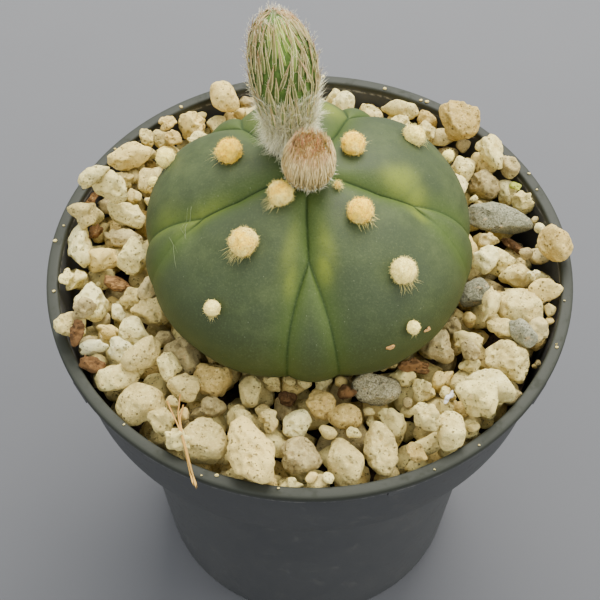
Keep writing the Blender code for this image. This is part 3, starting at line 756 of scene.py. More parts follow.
# %% Grain shape
def ball_mesh(level):
    """Directions and triangles of an icosphere, as arrays."""
    ball = bmesh.new()
    bmesh.ops.create_icosphere(ball, subdivisions=level, radius=1.0)
    directions = np.array([vertex.co[:] for vertex in ball.verts])
    triangles = np.array([[vertex.index for vertex in face.verts] for face in ball.faces])
    ball.free()
    return directions, triangles


BALLS = {level: ball_mesh(level) for level in (2, 3, 4, 5)}


def rotation(axis, angle):
    """The matrix that turns points about one axis: 0, 1 or 2."""
    matrix = np.eye(3)
    first, second = (axis + 1) % 3, (axis + 2) % 3
    matrix[first, first] = matrix[second, second] = math.cos(angle)
    matrix[first, second], matrix[second, first] = -math.sin(angle), math.sin(angle)
    return matrix


SWELL, LUMP, GRIT = 0.050, 0.17 * MM, 0.12 * MM
SWELL_SPAN, LUMP_SPAN, GRIT_SPAN = 0.36, 1.3 * MM, 0.62 * MM


def grain_points(rng, level, size, cuts=15, sharp=17.0, rough=1.0, pocks=7.0):
    """Points of one grain that fills a box of the given size."""
    ball = BALLS[level][0]
    planes = unit(rng.normal(size=(cuts, 3)))
    reach = rng.uniform(0.60, 0.95, cuts)
    facing = np.maximum(ball @ planes.T, 0.02)
    radius = (1.0 + ((reach / facing) ** -sharp).sum(axis=1)) ** (-1.0 / sharp)
    shape = ball * radius[:, None]
    shape /= np.abs(shape).max(axis=0)
    points = shape * size / 2
    scale = float(np.mean(size))
    seed = int(rng.integers(1_000_000))
    swell = SWELL * scale * lumps(points, SWELL_SPAN * scale, seed) * rough
    swell += LUMP * lumps(points, LUMP_SPAN, seed + 1) * rough
    if level > 3:
        swell += GRIT * lumps(points, GRIT_SPAN, seed + 2) * rough
        pits = points[rng.integers(len(points), size=int(pocks * rough * scale / MM))]
        width = rng.uniform(0.22, 0.65, len(pits)) * MM
        gap = np.linalg.norm(points[:, None] - pits[None], axis=-1)
        swell -= (np.exp(-((gap / width) ** 4)) * width * 0.75).max(axis=1) * rough
    points = points + ball * swell[:, None]
    return points * (size / np.ptp(points, axis=0))


print({level: len(faces) for level, (_, faces) in BALLS.items()}, "triangles by level")

# %% Pumice look
stone, come, leave = new_group(
    "porous_stone",
    (("Where", "Vector"), ("Tone", "Float"), ("Dark", "Color"), ("Light", "Color"),
     ("Dust", "Color"), ("Speckle", "Float")), (("Color", "Color"), ("Relief", "Float")))
RUST, HOLE_SHADE, SALT, PEPPER = ((0.66, 0.44, 0.17), (0.05, 0.03, 0.01), (0.62, 0.57, 0.38),
                            (0.035, 0.035, 0.032))
cloud = noise(stone, come["Where"], 0.45, 4.0, 0.6)
grain = noise(stone, come["Where"], 2.0, 6.0, 0.8)
toned = maths(stone, "ADD", cloud, times(stone, come["Tone"], 0.22))
colour = blend(stone, ramp(stone, toned, 0.32, 0.68), come["Dark"], come["Light"])
colour = blend(stone, ramp(stone, grain, 0.48, 0.70, 0.0, 0.7), colour, come["Dust"])
rusty = ramp(stone, noise(stone, come["Where"], 0.8, 3.0), 0.60, 0.75, 0.0, 0.55)
colour = blend(stone, rusty, colour, RUST)
pores = [ramp(stone, put(stone, "ShaderNodeTexVoronoi", Vector=come["Where"],
                         Scale=scale).outputs["Distance"], edge, middle)
         for scale, edge, middle in ((1.9, 0.28, 0.12), (0.95, 0.26, 0.14))]
pore = times(stone, maths(stone, "MAXIMUM", *pores),
             ramp(stone, noise(stone, come["Where"], 0.9, 2.0), 0.40, 0.56))
# The pores and the low parts of the grain turn towards a near-black hole colour: painted shade in
# the hollows.
hollow_shade = maths(stone, "MAXIMUM", times(stone, pore, 0.8),
             ramp(stone, grain, 0.42, 0.26, 0.0, 0.8))
colour = blend(stone, hollow_shade, colour, blend(stone, 0.72, come["Dark"], HOLE_SHADE))
fleck = noise(stone, come["Where"], 3.0, 2.0, 0.8)
for low, high, tint in ((0.50, 0.60, SALT), (0.45, 0.36, PEPPER)):
    amount = times(stone, ramp(stone, fleck, low, high), come["Speckle"])
    colour = blend(stone, amount, colour, tint)
feed(stone, leave["Color"], colour)
feed(stone, leave["Relief"], maths(stone, "SUBTRACT", grain, times(stone, pore, 0.9)))
print("porous stone mixed")

# %% Pumice in its tones
PUMICE_BUMP = 0.36 * MM
# The hollows, the high parts and the dust of each tone, and how much it is speckled.
PUMICE_TONES = {
    "beige": ((0.57, 0.445, 0.155), (0.83, 0.70, 0.27), (0.90, 0.77, 0.35)),
    "ochre": ((0.53, 0.37, 0.105), (0.81, 0.62, 0.205), (0.87, 0.69, 0.28)),
    "cream": ((0.67, 0.555, 0.21), (0.89, 0.78, 0.34), (0.92, 0.82, 0.44)),
    "grey": ((0.36, 0.275, 0.11), (0.60, 0.485, 0.205), (0.67, 0.56, 0.27)),
    "slate": ((0.19, 0.19, 0.114), (0.31, 0.3, 0.185), (0.39, 0.37, 0.229), 0.3),
    "granite": ((0.28, 0.25, 0.13), (0.40, 0.35, 0.18), (0.48, 0.42, 0.23), 0.55),
    "white": ((0.8, 0.71, 0.33), (0.93, 0.86, 0.46), (0.95, 0.90, 0.55)),
    "brown": ((0.07, 0.034, 0.011), (0.19, 0.095, 0.03), (0.28, 0.15, 0.053)),
}


def pumice_material(name, dark, light, dust_colour, speckle=0.0):
    """Porous stone in its own tones."""
    material, tree, shader, where = new_material(name, 0.92, 0.2)
    look = place_group(tree, stone, Where=where, Tone=attribute(tree, "tone"), Dark=dark,
                       Light=light, Dust=dust_colour, Speckle=speckle)
    finish(tree, shader, look["Color"], look["Relief"], 1.0, PUMICE_BUMP)
    return material


PUMICE = {kind: pumice_material(f"pumice_{kind}", *tones) for kind, tones in PUMICE_TONES.items()}
print("pumice in", ", ".join(PUMICE))

# %% Large grains
def nodes_named(start):
    """The names of the CAD nodes that start so, in order."""
    return sorted(name for name in frame["nodes"] if name.startswith(start))


slot_of = {part["node"]: part["material_slot"] for part in frame["record"]["subparts"]}
# A lower tone is darker; the stones that are not listed draw theirs.
LARGE_TONES = {"stone_back_boulder": -1.9, "stone_right_egg": -0.4, "stone_back_left": 0.4}
large_shapes = []
for number, name in enumerate(nodes_named("stone_")):
    middle, axes, size = node_axes(name)
    rng = random_numbers(100 + number)
    kind = slot_of[name].replace("stone_", "")
    rough = rng.uniform(0.7, 1.3) * (0.45 if kind == "slate" else 1.0)
    kind = "granite" if name == "stone_front_granite" else kind
    points = grain_points(rng, 5, size, rough=rough) @ axes + middle
    add_piece(f"pumice_{name[6:]}", points, [BALLS[5][1]], PUMICE[kind], [name],
              {"tone": np.full(len(points), LARGE_TONES.get(name, rng.uniform(-1.0, 1.0)))})
    large_shapes.append(points)
print(len(large_shapes), "large grains")

# %% [markdown]
# ## Bark
# Two larger chips of pine bark lie in the grit. A chip breaks as a stone does, so the grain
# shape serves it too, with fewer cuts and hardly a pit, and its fibres are stretched noise.

# %% Bark
bark_skin, tree, shader, where = new_material("bark", 0.9, 0.2)
fibres = noise(tree, put(tree, "ShaderNodeMapping", Vector=where, Scale=(0.5, 2.2, 2.2),
                         Rotation=(0.3, 0.2, 0.7)).outputs["Vector"], 1.3, 4.0, 0.7)
finish(tree, shader, blend(tree, ramp(tree, fibres, 0.35, 0.7), (0.085, 0.040, 0.014),
                           (0.44, 0.245, 0.085)), fibres, 0.8, 0.3 * MM)
for number, name in enumerate(nodes_named("bark_")):
    middle, axes, size = node_axes(name)
    points = grain_points(random_numbers(800 + number), 4, size, cuts=9, sharp=22.0, rough=1.1,
                          pocks=2.0) @ axes + middle
    add_piece(f"bark_{name[10:]}", points, [BALLS[4][1]], bark_skin, [name],
              {"tone": np.zeros(len(points))})
    large_shapes.append(points)
print(len(large_shapes), "large shapes with the bark")

# %% [markdown]
# ## The heap of small grains
# Hundreds of small grains lie between and under the large ones. Rigid-body simulation could
# pile them up, but it is slow and never the same twice. Here a height map of the pot keeps the
# level of whatever lies there. Each new grain is tried in many places, drops to the lowest one
# where it fits under the cactus and inside the wall, and raises the map. Grains of like tone
# are one object, because hundreds of objects would be slow to handle.

# %% Height map
CELL = 0.35 * MM
HALF_CELLS = int(RIM_RADIUS / CELL) + 2
cell_axis = (np.arange(2 * HALF_CELLS + 1) - HALF_CELLS) * CELL
cell_x, cell_y = np.meshgrid(cell_axis, cell_axis, indexing="ij")
cell_radius = np.hypot(cell_x, cell_y)
SOIL_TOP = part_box("soil")[1][2]
ROOT_CLEARANCE = 17.0 * MM
# The height of an empty cell, and the least height that means an empty one.
NOTHING, BEYOND = 1.0, 0.5


def cactus_underside():
    """Lowest height of the cactus over each cell, and above everything where it isn't."""
    reach = np.hypot(cell_x - BODY_MIDDLE[0], cell_y - BODY_MIDDLE[1])
    turn = np.degrees(np.arctan2(cell_y - BODY_MIDDLE[1], cell_x - BODY_MIDDLE[0]))
    widest = BODY_RADIUS - furrow_sink(turn, np.full(turn.shape, 92.0))
    share = np.clip(reach / widest, 0.0, 1.0)
    level = BODY_MIDDLE[2] - BODY_UNDER * np.sqrt(1.0 - share ** 2)
    level = np.where(reach < ROOT_CLEARANCE, 0.0, level)
    return np.where(reach > widest, NOTHING, level)


def wall_top():
    """Height of the soil, the sloping wall and the lip over each cell."""
    bore_low, bore_high = COLLAR_FOOT_RADIUS - WALL, RIM_RADIUS - LIP_WIDTH
    share = (cell_radius - bore_low) / (bore_high - bore_low)
    slope = COLLAR_FOOT + share * (RIM_TOP - LIP_HEIGHT - COLLAR_FOOT)
    level = np.maximum(slope, SOIL_TOP)
    level = np.where(cell_radius > bore_high, RIM_TOP, level)
    return np.where(cell_radius > RIM_RADIUS - 1.0 * MM, NOTHING, level)


ceiling = cactus_underside()
surface = wall_top()
print(surface.shape, "cells")

# %% Stamps of grains
TRIANGLES_OF = {len(ball): triangles for ball, triangles in BALLS.values()}
LEAST_ROOM = 0.35


def stamp(points):
    """Lowest and highest height of a grain over the cells it covers, and its first cell."""
    corners = points[TRIANGLES_OF[len(points)]]
    points = np.vstack([points, corners.mean(axis=1),
                        (corners + np.roll(corners, 1, axis=1)).reshape(-1, 3) / 2])
    cells = np.rint(points[:, :2] / CELL).astype(int)
    first = cells.min(axis=0)
    cells -= first
    shape = tuple(cells.max(axis=0) + 1)
    low, top = np.full(shape, NOTHING), np.full(shape, -NOTHING)
    np.minimum.at(low, tuple(cells.T), points[:, 2])
    np.maximum.at(top, tuple(cells.T), points[:, 2])
    padded = np.pad(top, 1, constant_values=-NOTHING)
    near = [padded[x:x + shape[0], y:y + shape[1]] for x in range(3) for y in range(3)]
    return low, np.where(top < -BEYOND, np.max(near, axis=0), top), first


def window_at(start, shape):
    """The part of the height map that a stamp covers."""
    return tuple(slice(begin, begin + length) for begin, length in zip(start, shape))


def lying_stamp(points):
    """The heights of a grain that lies in the pot, and its part of the height map."""
    low, top, first = stamp(points)
    return low, top, window_at(first + HALF_CELLS, low.shape)


print("grains of", len(TRIANGLES_OF), "levels can be stamped on the map")

# %% Settling a grain
def settle(points, rng, cap, tries=60):
    """Drop a grain on the lowest spot found, or give up; returns the grain where it lies."""
    low, top, first = stamp(points)
    room = LEAST_ROOM * np.ptp(points[:, 2])
    open_cells = np.flatnonzero((cap - surface > room) & (surface < BEYOND))
    if not len(open_cells):
        return None
    best, found = NOTHING, None
    for cell in open_cells[rng.integers(len(open_cells), size=tries)]:
        spot = np.array(np.unravel_index(cell, surface.shape))
        start = spot + first
        if start.min() < 0 or (start + low.shape).max() > len(cell_axis):
            continue
        window = window_at(start, low.shape)
        rest = (surface[window] - low).max()
        if rest > BEYOND or rest >= best:
            continue
        lid = np.minimum(ceiling[window], cap[window])
        if (rest + top > lid).any():
            continue
        best, found = rest, (window, spot)
    if found is None:
        return None
    window, spot = found
    surface[window] = np.maximum(surface[window], best + top)
    return points + [cell_axis[spot[0]], cell_axis[spot[1]], best]


print("grains can settle")

# %% Loose grains
def random_grain(rng, level, longest, rough=1.0):
    """A loose grain of a random shape, lying on its flatter side."""
    size = longest * MM * np.array([1.0, rng.uniform(0.66, 0.95), rng.uniform(0.55, 0.85)])
    points = grain_points(rng, level, size, rough=rough * rng.uniform(0.6, 1.5))
    tilt_x, tilt_y, spin = rng.normal(0.0, 0.3), rng.normal(0.0, 0.3), random_turns(rng)
    points = points @ (rotation(2, spin) @ rotation(1, tilt_y) @ rotation(0, tilt_x)).T
    return points - (points.min(axis=0) + points.max(axis=0)) / 2


def heap(rng, count, longest, level, cap, misses_allowed=40, rough=1.0):
    """Drop up to count grains; returns the ones that found a place."""
    lying, misses = [], 0
    while len(lying) < count and misses < misses_allowed:
        grain = random_grain(rng, level, rng.uniform(*longest), rough)
        placed = settle(grain, rng, cap)
        if placed is None:
            misses += 1
        else:
            lying.append(placed)
    return lying


print("grains can be heaped")

# %% Filling the pot
BED_LEVEL = RIM_TOP - 2.8 * MM
DEEP_DROP = 4.4 * MM
EDGE_RADIUS, EDGE_RISE = 38.0 * MM, 0.5 * MM
PROP_LEVEL, PROP_REACH = RIM_TOP - 0.8 * MM, 3.0 * MM
BORE = RIM_RADIUS - LIP_WIDTH
SHUT = 0.0
for points in large_shapes:
    low, top, window = lying_stamp(points)
    ceiling[window] = np.minimum(ceiling[window], low)
bed_cap = np.full(surface.shape, BED_LEVEL)
deep = heap(random_numbers(11), 260, (5.0, 8.0), 2, bed_cap - DEEP_DROP)
edge_cap = np.where(cell_radius > EDGE_RADIUS, bed_cap + EDGE_RISE, SHUT)
bed = heap(random_numbers(19), 70, (3.6, 6.4), 3, edge_cap, 90)
bed += heap(random_numbers(12), 330, (4.5, 8.0), 3, bed_cap)
prop_cap = np.full(surface.shape, SHUT)
for points in large_shapes:
    if points[:, 2].min() > RIM_TOP - 3.0 * MM:
        middle, reach = points.mean(axis=0), np.ptp(points[:, :2], axis=0).max() / 2
        gap = np.hypot(cell_x - middle[0], cell_y - middle[1]) - reach
        prop_cap[(gap < PROP_REACH) & (cell_radius < BORE)] = PROP_LEVEL
bed += heap(random_numbers(20), 40, (3.4, 6.0), 3, prop_cap, 120)
print(len(deep), "deep grains and", len(bed), "in the bed")

# %% [markdown]
# ## The top of the heap
# The upper grains are the ones that are seen. The plainest of them are set one by one, and the rest
# drop into what is left. A cap over the map says how high a grain may reach at each place: low
# near the plant and on the right, and never above the upper part of a grain that should show.

# %% Grains set one by one
ceiling = cactus_underside()
for points in large_shapes:
    low, top, window = lying_stamp(points)
    surface[window] = np.maximum(surface[window], np.where(surface[window] < BEYOND, top, NOTHING))
# Grains set one by one: across, back, length, width and thickness in mm, turn, and tone.
SET_GRAINS = (
    (36.0, 26.5, 8.0, 5.0, 5.5, -55, "beige"), (39.5, 20.5, 5.5, 4.0, 5.0, -60, "cream"),
    (42.5, 17.5, 5.0, 4.0, 4.5, -60, "beige"),
    (-33.0, 20.5, 6.0, 4.0, 4.5, 80, "beige"), (-37.5, 8.0, 8.5, 4.5, 5.0, -10, "grey"),
    (-40.0, 2.0, 6.5, 5.0, 6.0, 0, "ochre"), (-29.5, -22.5, 8.5, 5.0, 6.0, 45, "beige"),
    (-25.5, -35.5, 5.5, 4.5, 6.0, -15, "beige"), (-18.0, -31.0, 7.0, 3.0, 5.0, 15, "grey"),
    (-10.5, -27.0, 6.5, 4.5, 6.0, 75, "beige"), (-4.0, -29.5, 5.5, 4.0, 5.0, -50, "grey"),
    (6.5, -33.0, 6.5, 4.5, 5.0, -15, "ochre"), (15.0, -32.5, 6.0, 4.5, 5.5, -60, "beige"),
    (33.5, -10.0, 8.0, 3.5, 5.0, 75, "beige"), (35.5, -14.5, 6.5, 3.5, 5.0, -40, "beige"),
    (44.5, -6.0, 7.0, 4.0, 6.0, 15, "ochre"), (30.0, -31.5, 8.5, 6.5, 7.0, -30, "beige"),
    (36.5, 3.0, 6.5, 5.0, 6.0, -20, "beige"), (26.5, 26.5, 7.0, 3.5, 4.0, -40, "beige"),
    (19.5, 43.5, 8.5, 4.0, 5.5, -22, "beige"), (12.5, 45.5, 5.0, 4.0, 5.5, -10, "ochre"),
    (-33.5, -7.0, 4.5, 4.0, 5.0, 0, "beige"), (-30.5, -6.5, 5.0, 4.0, 5.0, 70, "grey"),
    (-36.0, -10.0, 4.0, 3.0, 4.0, -50, "white"), (-37.5, -14.0, 4.5, 3.0, 4.5, -10, "ochre"),
    (-41.0, -15.5, 5.0, 4.0, 5.0, 30, "grey"), (-39.5, -20.0, 5.5, 3.0, 4.5, 10, "white"),
    (-34.0, -21.0, 5.0, 4.0, 4.5, -30, "white"), (-25.0, -25.0, 5.5, 4.5, 5.0, -50, "beige"),
    (-22.0, -28.5, 6.0, 5.0, 5.0, -10, "beige"), (-22.5, -40.0, 5.0, 4.0, 4.5, -20, "beige"),
    (32.0, 25.5, 4.5, 3.5, 4.0, 50, "beige"), (30.5, 23.0, 5.5, 4.5, 5.0, 70, "beige"),
    (42.0, 16.0, 4.5, 3.5, 4.5, 0, "beige"),
    (33.5, 1.5, 6.0, 5.0, 5.5, 70, "cream"), (42.5, -2.5, 2.6, 2.2, 2.6, 0, "white"),
    (26.5, -11.5, 5.0, 3.5, 5.0, -50, "grey"), (39.0, -17.5, 6.5, 4.0, 5.0, -40, "slate"),
    (42.0, -15.5, 5.5, 4.0, 5.0, 80, "grey"), (17.0, -24.0, 5.0, 3.5, 4.5, 0, "beige"),
    (20.5, -26.5, 5.0, 4.0, 5.0, -50, "beige"), (24.5, -24.5, 5.0, 3.5, 4.5, 50, "ochre"),
    (20.0, -32.5, 4.5, 3.5, 4.5, -10, "beige"), (20.5, -37.0, 5.0, 4.0, 5.0, -10, "beige"),
    (-43.5, -20.7, 5.0, 3.0, 3.0, 70, "brown"), (-40.0, -24.5, 5.0, 3.0, 3.0, -20, "brown"),
    (40.0, 7.5, 5.5, 2.0, 2.5, -40, "brown"), (18.3, -23.4, 4.5, 2.4, 2.6, 15, "brown"),
    (6.9, -28.0, 3.6, 2.6, 2.6, 0, "brown"), (-3.7, -28.9, 3.6, 2.8, 3.0, -20, "brown"),
    (-43.5, 17.0, 4.0, 2.0, 2.4, 70, "brown"), (-42.0, 8.5, 4.0, 2.4, 2.6, 60, "brown"),
    (-42.0, 14.5, 7.0, 3.5, 4.5, 40, "cream"), (-44.0, 9.0, 6.0, 5.0, 5.0, -10, "beige"),
    (25.0, 41.0, 4.5, 3.5, 5.5, -30, "ochre"), (41.0, 24.5, 4.5, 3.0, 5.0, -60, "grey"),
    (-13.5, 45.5, 4.5, 3.5, 5.0, 10, "grey"), (5.5, 47.0, 4.5, 3.5, 5.5, 0, "beige"))
print(len(SET_GRAINS), "grains to set")

# %% Laying the set grains
WALL_SHARE, BEDDING = 0.9, 0.80


def turned_grain(rng, size, degrees, rough=1.0):
    """A detailed grain of a size in mm, turned about the upright axis."""
    points = grain_points(rng, 4, np.array(size) * MM, rough=rough)
    return points @ rotation(2, math.radians(degrees)).T


def lay(points, x, y):
    """Bed a grain down at a place, clear of the wall, among whatever lies there."""
    outward = points[:, :2] @ (np.array([x, y]) / math.hypot(x, y))
    outermost = RIM_RADIUS - LIP_WIDTH - WALL_SHARE * outward.max()
    x, y = np.array([x, y]) * min(1.0, outermost / math.hypot(x, y))
    low, top, first = stamp(points)
    window = window_at(first + np.rint(np.array([x, y]) / CELL).astype(int) + HALF_CELLS, low.shape)
    solid = (low < NOTHING) & (surface[window] < BEYOND)
    inside = solid & (cell_radius[window] < BORE)
    rest = np.quantile((surface[window] - low)[inside], BEDDING)
    surface[window] = np.where(solid, np.maximum(surface[window], rest + top), surface[window])
    return points + [x, y, rest]


set_grains = []
for number, (x, y, long, wide, thick, degrees, tone) in enumerate(SET_GRAINS):
    rng = random_numbers(300 + number)
    grain = turned_grain(rng, (long, wide, thick), degrees, rng.uniform(0.7, 1.5))
    set_grains.append((tone, lay(grain, x * MM, y * MM)))
print("highest set grain", round(float(max(points[:, 2].max() for _, points in set_grains)
                                       - RIM_TOP) / MM, 1), "mm over the rim")

# %% Caps over the heap
UPPER_PART = 0.45
TOP_LEVEL, LOW_SIDE_DROP = RIM_TOP + 2.3 * MM, 1.7 * MM
LOW_SIDE_TURN = math.radians(22.0)
MOAT_DROP = 2.4 * MM
OVER_LIP = RIM_TOP + 0.8 * MM
WALL_LEVEL = RIM_TOP + 2.6 * MM
WALL_IN, WALL_OUT = 38.5 * MM, RIM_RADIUS - 1.4 * MM


def keep_clear(points, cap):
    """Lower a cap onto the upper part of a grain, so that no later grain hides it."""
    low, top, window = lying_stamp(points)
    upper = top > top.max() - UPPER_PART * np.ptp(points[:, 2])
    cap[window] = np.where(upper, np.minimum(cap[window], top), cap[window])


low_side = np.cos(np.arctan2(cell_y, cell_x) - LOW_SIDE_TURN)
top_cap = TOP_LEVEL - LOW_SIDE_DROP * ease(low_side, 0.35, 0.95) * ease(
    cell_radius, 36.0 * MM, 45.0 * MM)
moat = np.hypot(cell_x - BODY_MIDDLE[0], cell_y - BODY_MIDDLE[1]) - BODY_RADIUS
top_cap -= MOAT_DROP * (1.0 - ease(moat, 0.5 * MM, 4.0 * MM)) * ease(-cell_y, -12.0 * MM, 8.0 * MM)
top_cap = np.where(cell_radius > BORE, np.minimum(top_cap, OVER_LIP), top_cap)
wall_ring = (cell_radius > WALL_IN) & (cell_radius < WALL_OUT) & (cell_y > -20 * MM)
wall_cap = np.where(wall_ring, WALL_LEVEL, SHUT)
for points in large_shapes + [points for _, points in set_grains]:
    keep_clear(points, top_cap)
    keep_clear(points, wall_cap)
print("caps reach", round(float(top_cap.max() - RIM_TOP) / MM, 1), "mm over the rim")

# %% Top grains
top_grains = heap(random_numbers(18), 42, (3.9, 6.4), 4, wall_cap, 160)
print(len(top_grains), "grains along the wall")
top_grains += heap(random_numbers(13), 90, (5.6, 8.2), 4, top_cap + 0.9 * MM, 200)
top_grains += heap(random_numbers(14), 130, (4.0, 5.6), 4, top_cap + 0.3 * MM, 220)
for points in top_grains:
    keep_clear(points, top_cap)
chips = heap(random_numbers(17), 100, (3.2, 4.6), 3, top_cap - 0.2 * MM, 200)
chips += heap(random_numbers(15), 150, (2.2, 3.4), 3, top_cap - 0.7 * MM, 260)
crumbs = heap(random_numbers(16), 60, (1.1, 2.0), 2, top_cap - 1.4 * MM, 100)
print(len(top_grains), "top grains,", len(chips), "chips and", len(crumbs), "crumbs")

# %% Grouping grains by tone
TONE_SHARES = {"beige": 0.57, "ochre": 0.21, "cream": 0.03, "grey": 0.19}


def add_heap(label, grains, level, seed, kinds=()):
    """Make the grains of each tone one piece; tones are drawn where none are given."""
    rng = random_numbers(seed)
    drawn = rng.choice(list(TONE_SHARES), size=len(grains) - len(kinds),
                       p=list(TONE_SHARES.values()))
    kinds = [*kinds, *drawn]
    for kind in sorted(set(kinds)):
        chosen = [grain for grain, own in zip(grains, kinds) if own == kind]
        size = len(chosen[0])
        tones = np.repeat(rng.uniform(-1.0, 1.0, len(chosen)), size)
        add_piece(f"{label}_{kind}", np.vstack(chosen),
                  [repeated(BALLS[level][1], size, len(chosen))], PUMICE[kind],
                  ["gravel_bed"], {"tone": tones})


add_heap("deep_grit", deep, 2, 21)
add_heap("bed_grit", bed, 3, 22)
add_heap("top_grit", [points for _, points in set_grains] + top_grains, 4, 23,
         [tone for tone, _ in set_grains])
add_heap("grit_chips", chips, 3, 24)
add_heap("grit_crumbs", crumbs, 2, 25)

# %% [markdown]
# ## Fibres
# Wool, bristles, scales and straw are all long thin things, so one function makes them: it
# draws a tapering rod along each path, with as many sides as asked. A hair system would be the
# usual tool, but its hairs are lost when the scene is exported, while rods are ordinary mesh.
# Rods are sorted by tone and each has its own strip of the map, so a baked texture keeps them
# apart.

# %% Rods along paths
def rods(paths, across, widths, depth=1.0, sides=3, tone=0.0, strip=(0.0, 1.0)):
    """Tapering rods: points, faces, maps and values, each rod ending in a point."""
    count, stations = paths.shape[:2]
    ahead = unit(np.diff(paths, axis=1))
    flat = unit(np.cross(ahead, across[:, None]))
    side = np.cross(flat, ahead)
    angle = 2 * math.pi * (np.arange(sides)[:, None] + 0.5) / sides
    rim = side[:, :, None] * np.cos(angle) + depth * flat[:, :, None] * np.sin(angle)
    rings = paths[:, :-1, None] + widths[:, :, None, None] * rim
    points = np.concatenate([rings.reshape(count, -1, 3), paths[:, -1:]], axis=1)
    size = points.shape[1]
    first = np.arange(count)[:, None, None] * size
    row = np.arange(stations - 2)[:, None] * sides
    here = np.arange(sides)
    after = (here + 1) % sides
    quads = np.stack([first + row + here, first + row + after, first + row + sides + after,
                      first + row + sides + here], axis=-1).reshape(-1, 4)
    last = (stations - 2) * sides
    start = first[:, 0]
    tips = np.stack([start + last + here, start + last + after,
                     np.broadcast_to(start + size - 1, (count, sides))], axis=-1).reshape(-1, 3)
    bases = (start + here[::-1]).reshape(-1, sides)
    edges = strip[0] + (strip[1] - strip[0]) * (
        np.arange(count)[:, None] + np.linspace(0.04, 0.96, sides + 1)) / count
    left, right = edges[:, None, :-1], edges[:, None, 1:]
    levels = 0.05 + 0.94 * np.arange(stations) / (stations - 1)
    low, high = levels[:-2][:, None], levels[1:-1][:, None]
    shape = (count, stations - 2, sides)
    corners = [np.stack(np.broadcast_arrays(u, v, np.zeros(shape))[:2], axis=-1)
               for u, v in ((left, low), (right, low), (right, high), (left, high))]
    quad_map = np.stack(corners, axis=3).reshape(-1, 2)
    corners = [np.stack(np.broadcast_arrays(u[:, 0], v, np.zeros((count, sides)))[:2], axis=-1)
               for u, v in ((left, levels[-2]), (right, levels[-2]),
                            ((left + right) / 2, levels[-1]))]
    tip_map = np.stack(corners, axis=2).reshape(-1, 2)
    dip = 0.04 * (1 + np.cos(angle[::-1, 0])) / 2
    base_map = np.stack(np.broadcast_arrays(edges[:, :-1][:, ::-1], dip), axis=-1).reshape(-1, 2)
    along = np.append(np.repeat(levels[:-1], sides), 1.0)
    return {"points": points.reshape(-1, 3), "faces": [quads, tips, bases],
            "map": [quad_map, tip_map, base_map],
            "tone": np.repeat(np.broadcast_to(tone, count), size),
            "along": np.tile(along, count)}


print("rods ready")

# %% Hairs and balls
def hairs(rng, roots, ways, lengths, width, bend, drop=(0, 0, 0), strip=(0.0, 1.0)):
    """Fine curved hairs from roots, sorted from dark to light."""
    count = len(roots)
    tone = np.sort(rng.uniform(-1.0, 1.0, count))
    aside_way = unit(np.cross(ways, rng.normal(size=ways.shape)))
    reach = lengths[:, None]
    curl = rng.uniform(-bend, bend, (count, 1))
    middle = roots + ways * reach * 0.55 + aside_way * reach * curl * 0.35
    tip = roots + ways * reach + aside_way * reach * curl + np.array(drop) * reach
    paths = np.stack([roots, middle, tip], axis=1)
    widths = width * np.stack([np.ones(count), np.full(count, 0.75)], axis=1)
    return rods(paths, aside_way, widths, tone=tone, strip=strip)


def add_fibres(name, parts, material, replaces=(), values=()):
    """Join parts made of points, faces, maps and values into one piece."""
    faces, offset = [], 0
    for part in parts:
        faces += [group + offset for group in part["faces"]]
        offset += len(part["points"])
    points, tone, along = (np.concatenate([part[key] for part in parts])
                           for key in ("points", "tone", "along"))
    uv = np.vstack([chart for part in parts for chart in part["map"]])
    return add_piece(name, points, faces, material, replaces,
                     {"tone": tone, "along": along, **dict(values)}, uv)


def none_on(part):
    """A value of 0 at every point of a part."""
    return np.zeros(len(part["points"]))


def core_ball(level, radii, swell, strip=(0.0, 1.0)):
    """A lumpy ball about the origin that faces +Z, with a map seen from above."""
    ball, triangles = BALLS[level]
    points = ball * radii
    points = points + ball * swell(points)[:, None]
    fall = np.arccos(np.clip(ball[:, 2], -1.0, 1.0)) / math.pi
    turn = np.arctan2(ball[:, 1], ball[:, 0])
    chart = np.stack([0.5 + 0.48 * fall * np.cos(turn), 0.5 + 0.48 * fall * np.sin(turn)], axis=1)
    chart[:, 0] = strip[0] + (strip[1] - strip[0]) * chart[:, 0]
    return {"points": points, "faces": [triangles], "map": [chart[triangles].reshape(-1, 2)],
            "tone": np.zeros(len(points)), "along": np.full(len(points), 0.45)}


print("hairs and balls ready")

# %% [markdown]
# ## Scars on the skin
# Thin pale lines cross the skin where a leaf or a nail has scraped it. Painted lines would need
# a finer mesh under them, so each scar is a flat rod that lies on the skin.

# %% Scars
SCAR_LIFT = 0.03 * MM
SCAR_FLATNESS = 0.35
SCAR_POINTS = 9
# Turn and fall of the points of each line on the skin, and its half-width in mm.
SCARS = ((((189.5, 44.5), (194.0, 47.5), (199.0, 50.5), (204.5, 51.8)), 0.045),
         (((188.9, 46.3), (192.5, 49.0), (198.0, 51.5)), 0.022),
         (((196.8, 52.0), (201.0, 51.4), (205.2, 51.0)), 0.025),
         (((197.5, 58.6), (201.5, 57.8), (207.0, 59.5), (212.5, 62.0)), 0.040),
         (((203.0, 57.4), (207.5, 57.2)), 0.020),
         (((275.9, 49.3), (276.3, 61.6), (275.0, 73.0), (273.6, 84.4)), 0.022))
scar_skin, tree, shader, where = new_material("pale_scar", 0.8, 0.2)
finish(tree, shader, blend(tree, noise(tree, where, 1.5, 3.0), (0.12, 0.155, 0.06),
                           (0.27, 0.31, 0.16)))
scar_parts = []
for corners, half_width in SCARS:
    turn, fall = np.array(corners).T
    share = np.linspace(0.0, 1.0, SCAR_POINTS)
    knots = np.linspace(0.0, 1.0, len(turn))
    path = skin_point(np.interp(share, knots, turn), np.interp(share, knots, fall), SCAR_LIFT)
    across = unit(np.cross(path[-1] - path[0], skin_normal(turn[:1], fall[:1])[0]))[None]
    widths = np.full((1, SCAR_POINTS - 1), half_width * MM)
    scar_parts.append(rods(path[None], across, widths, SCAR_FLATNESS, 4))
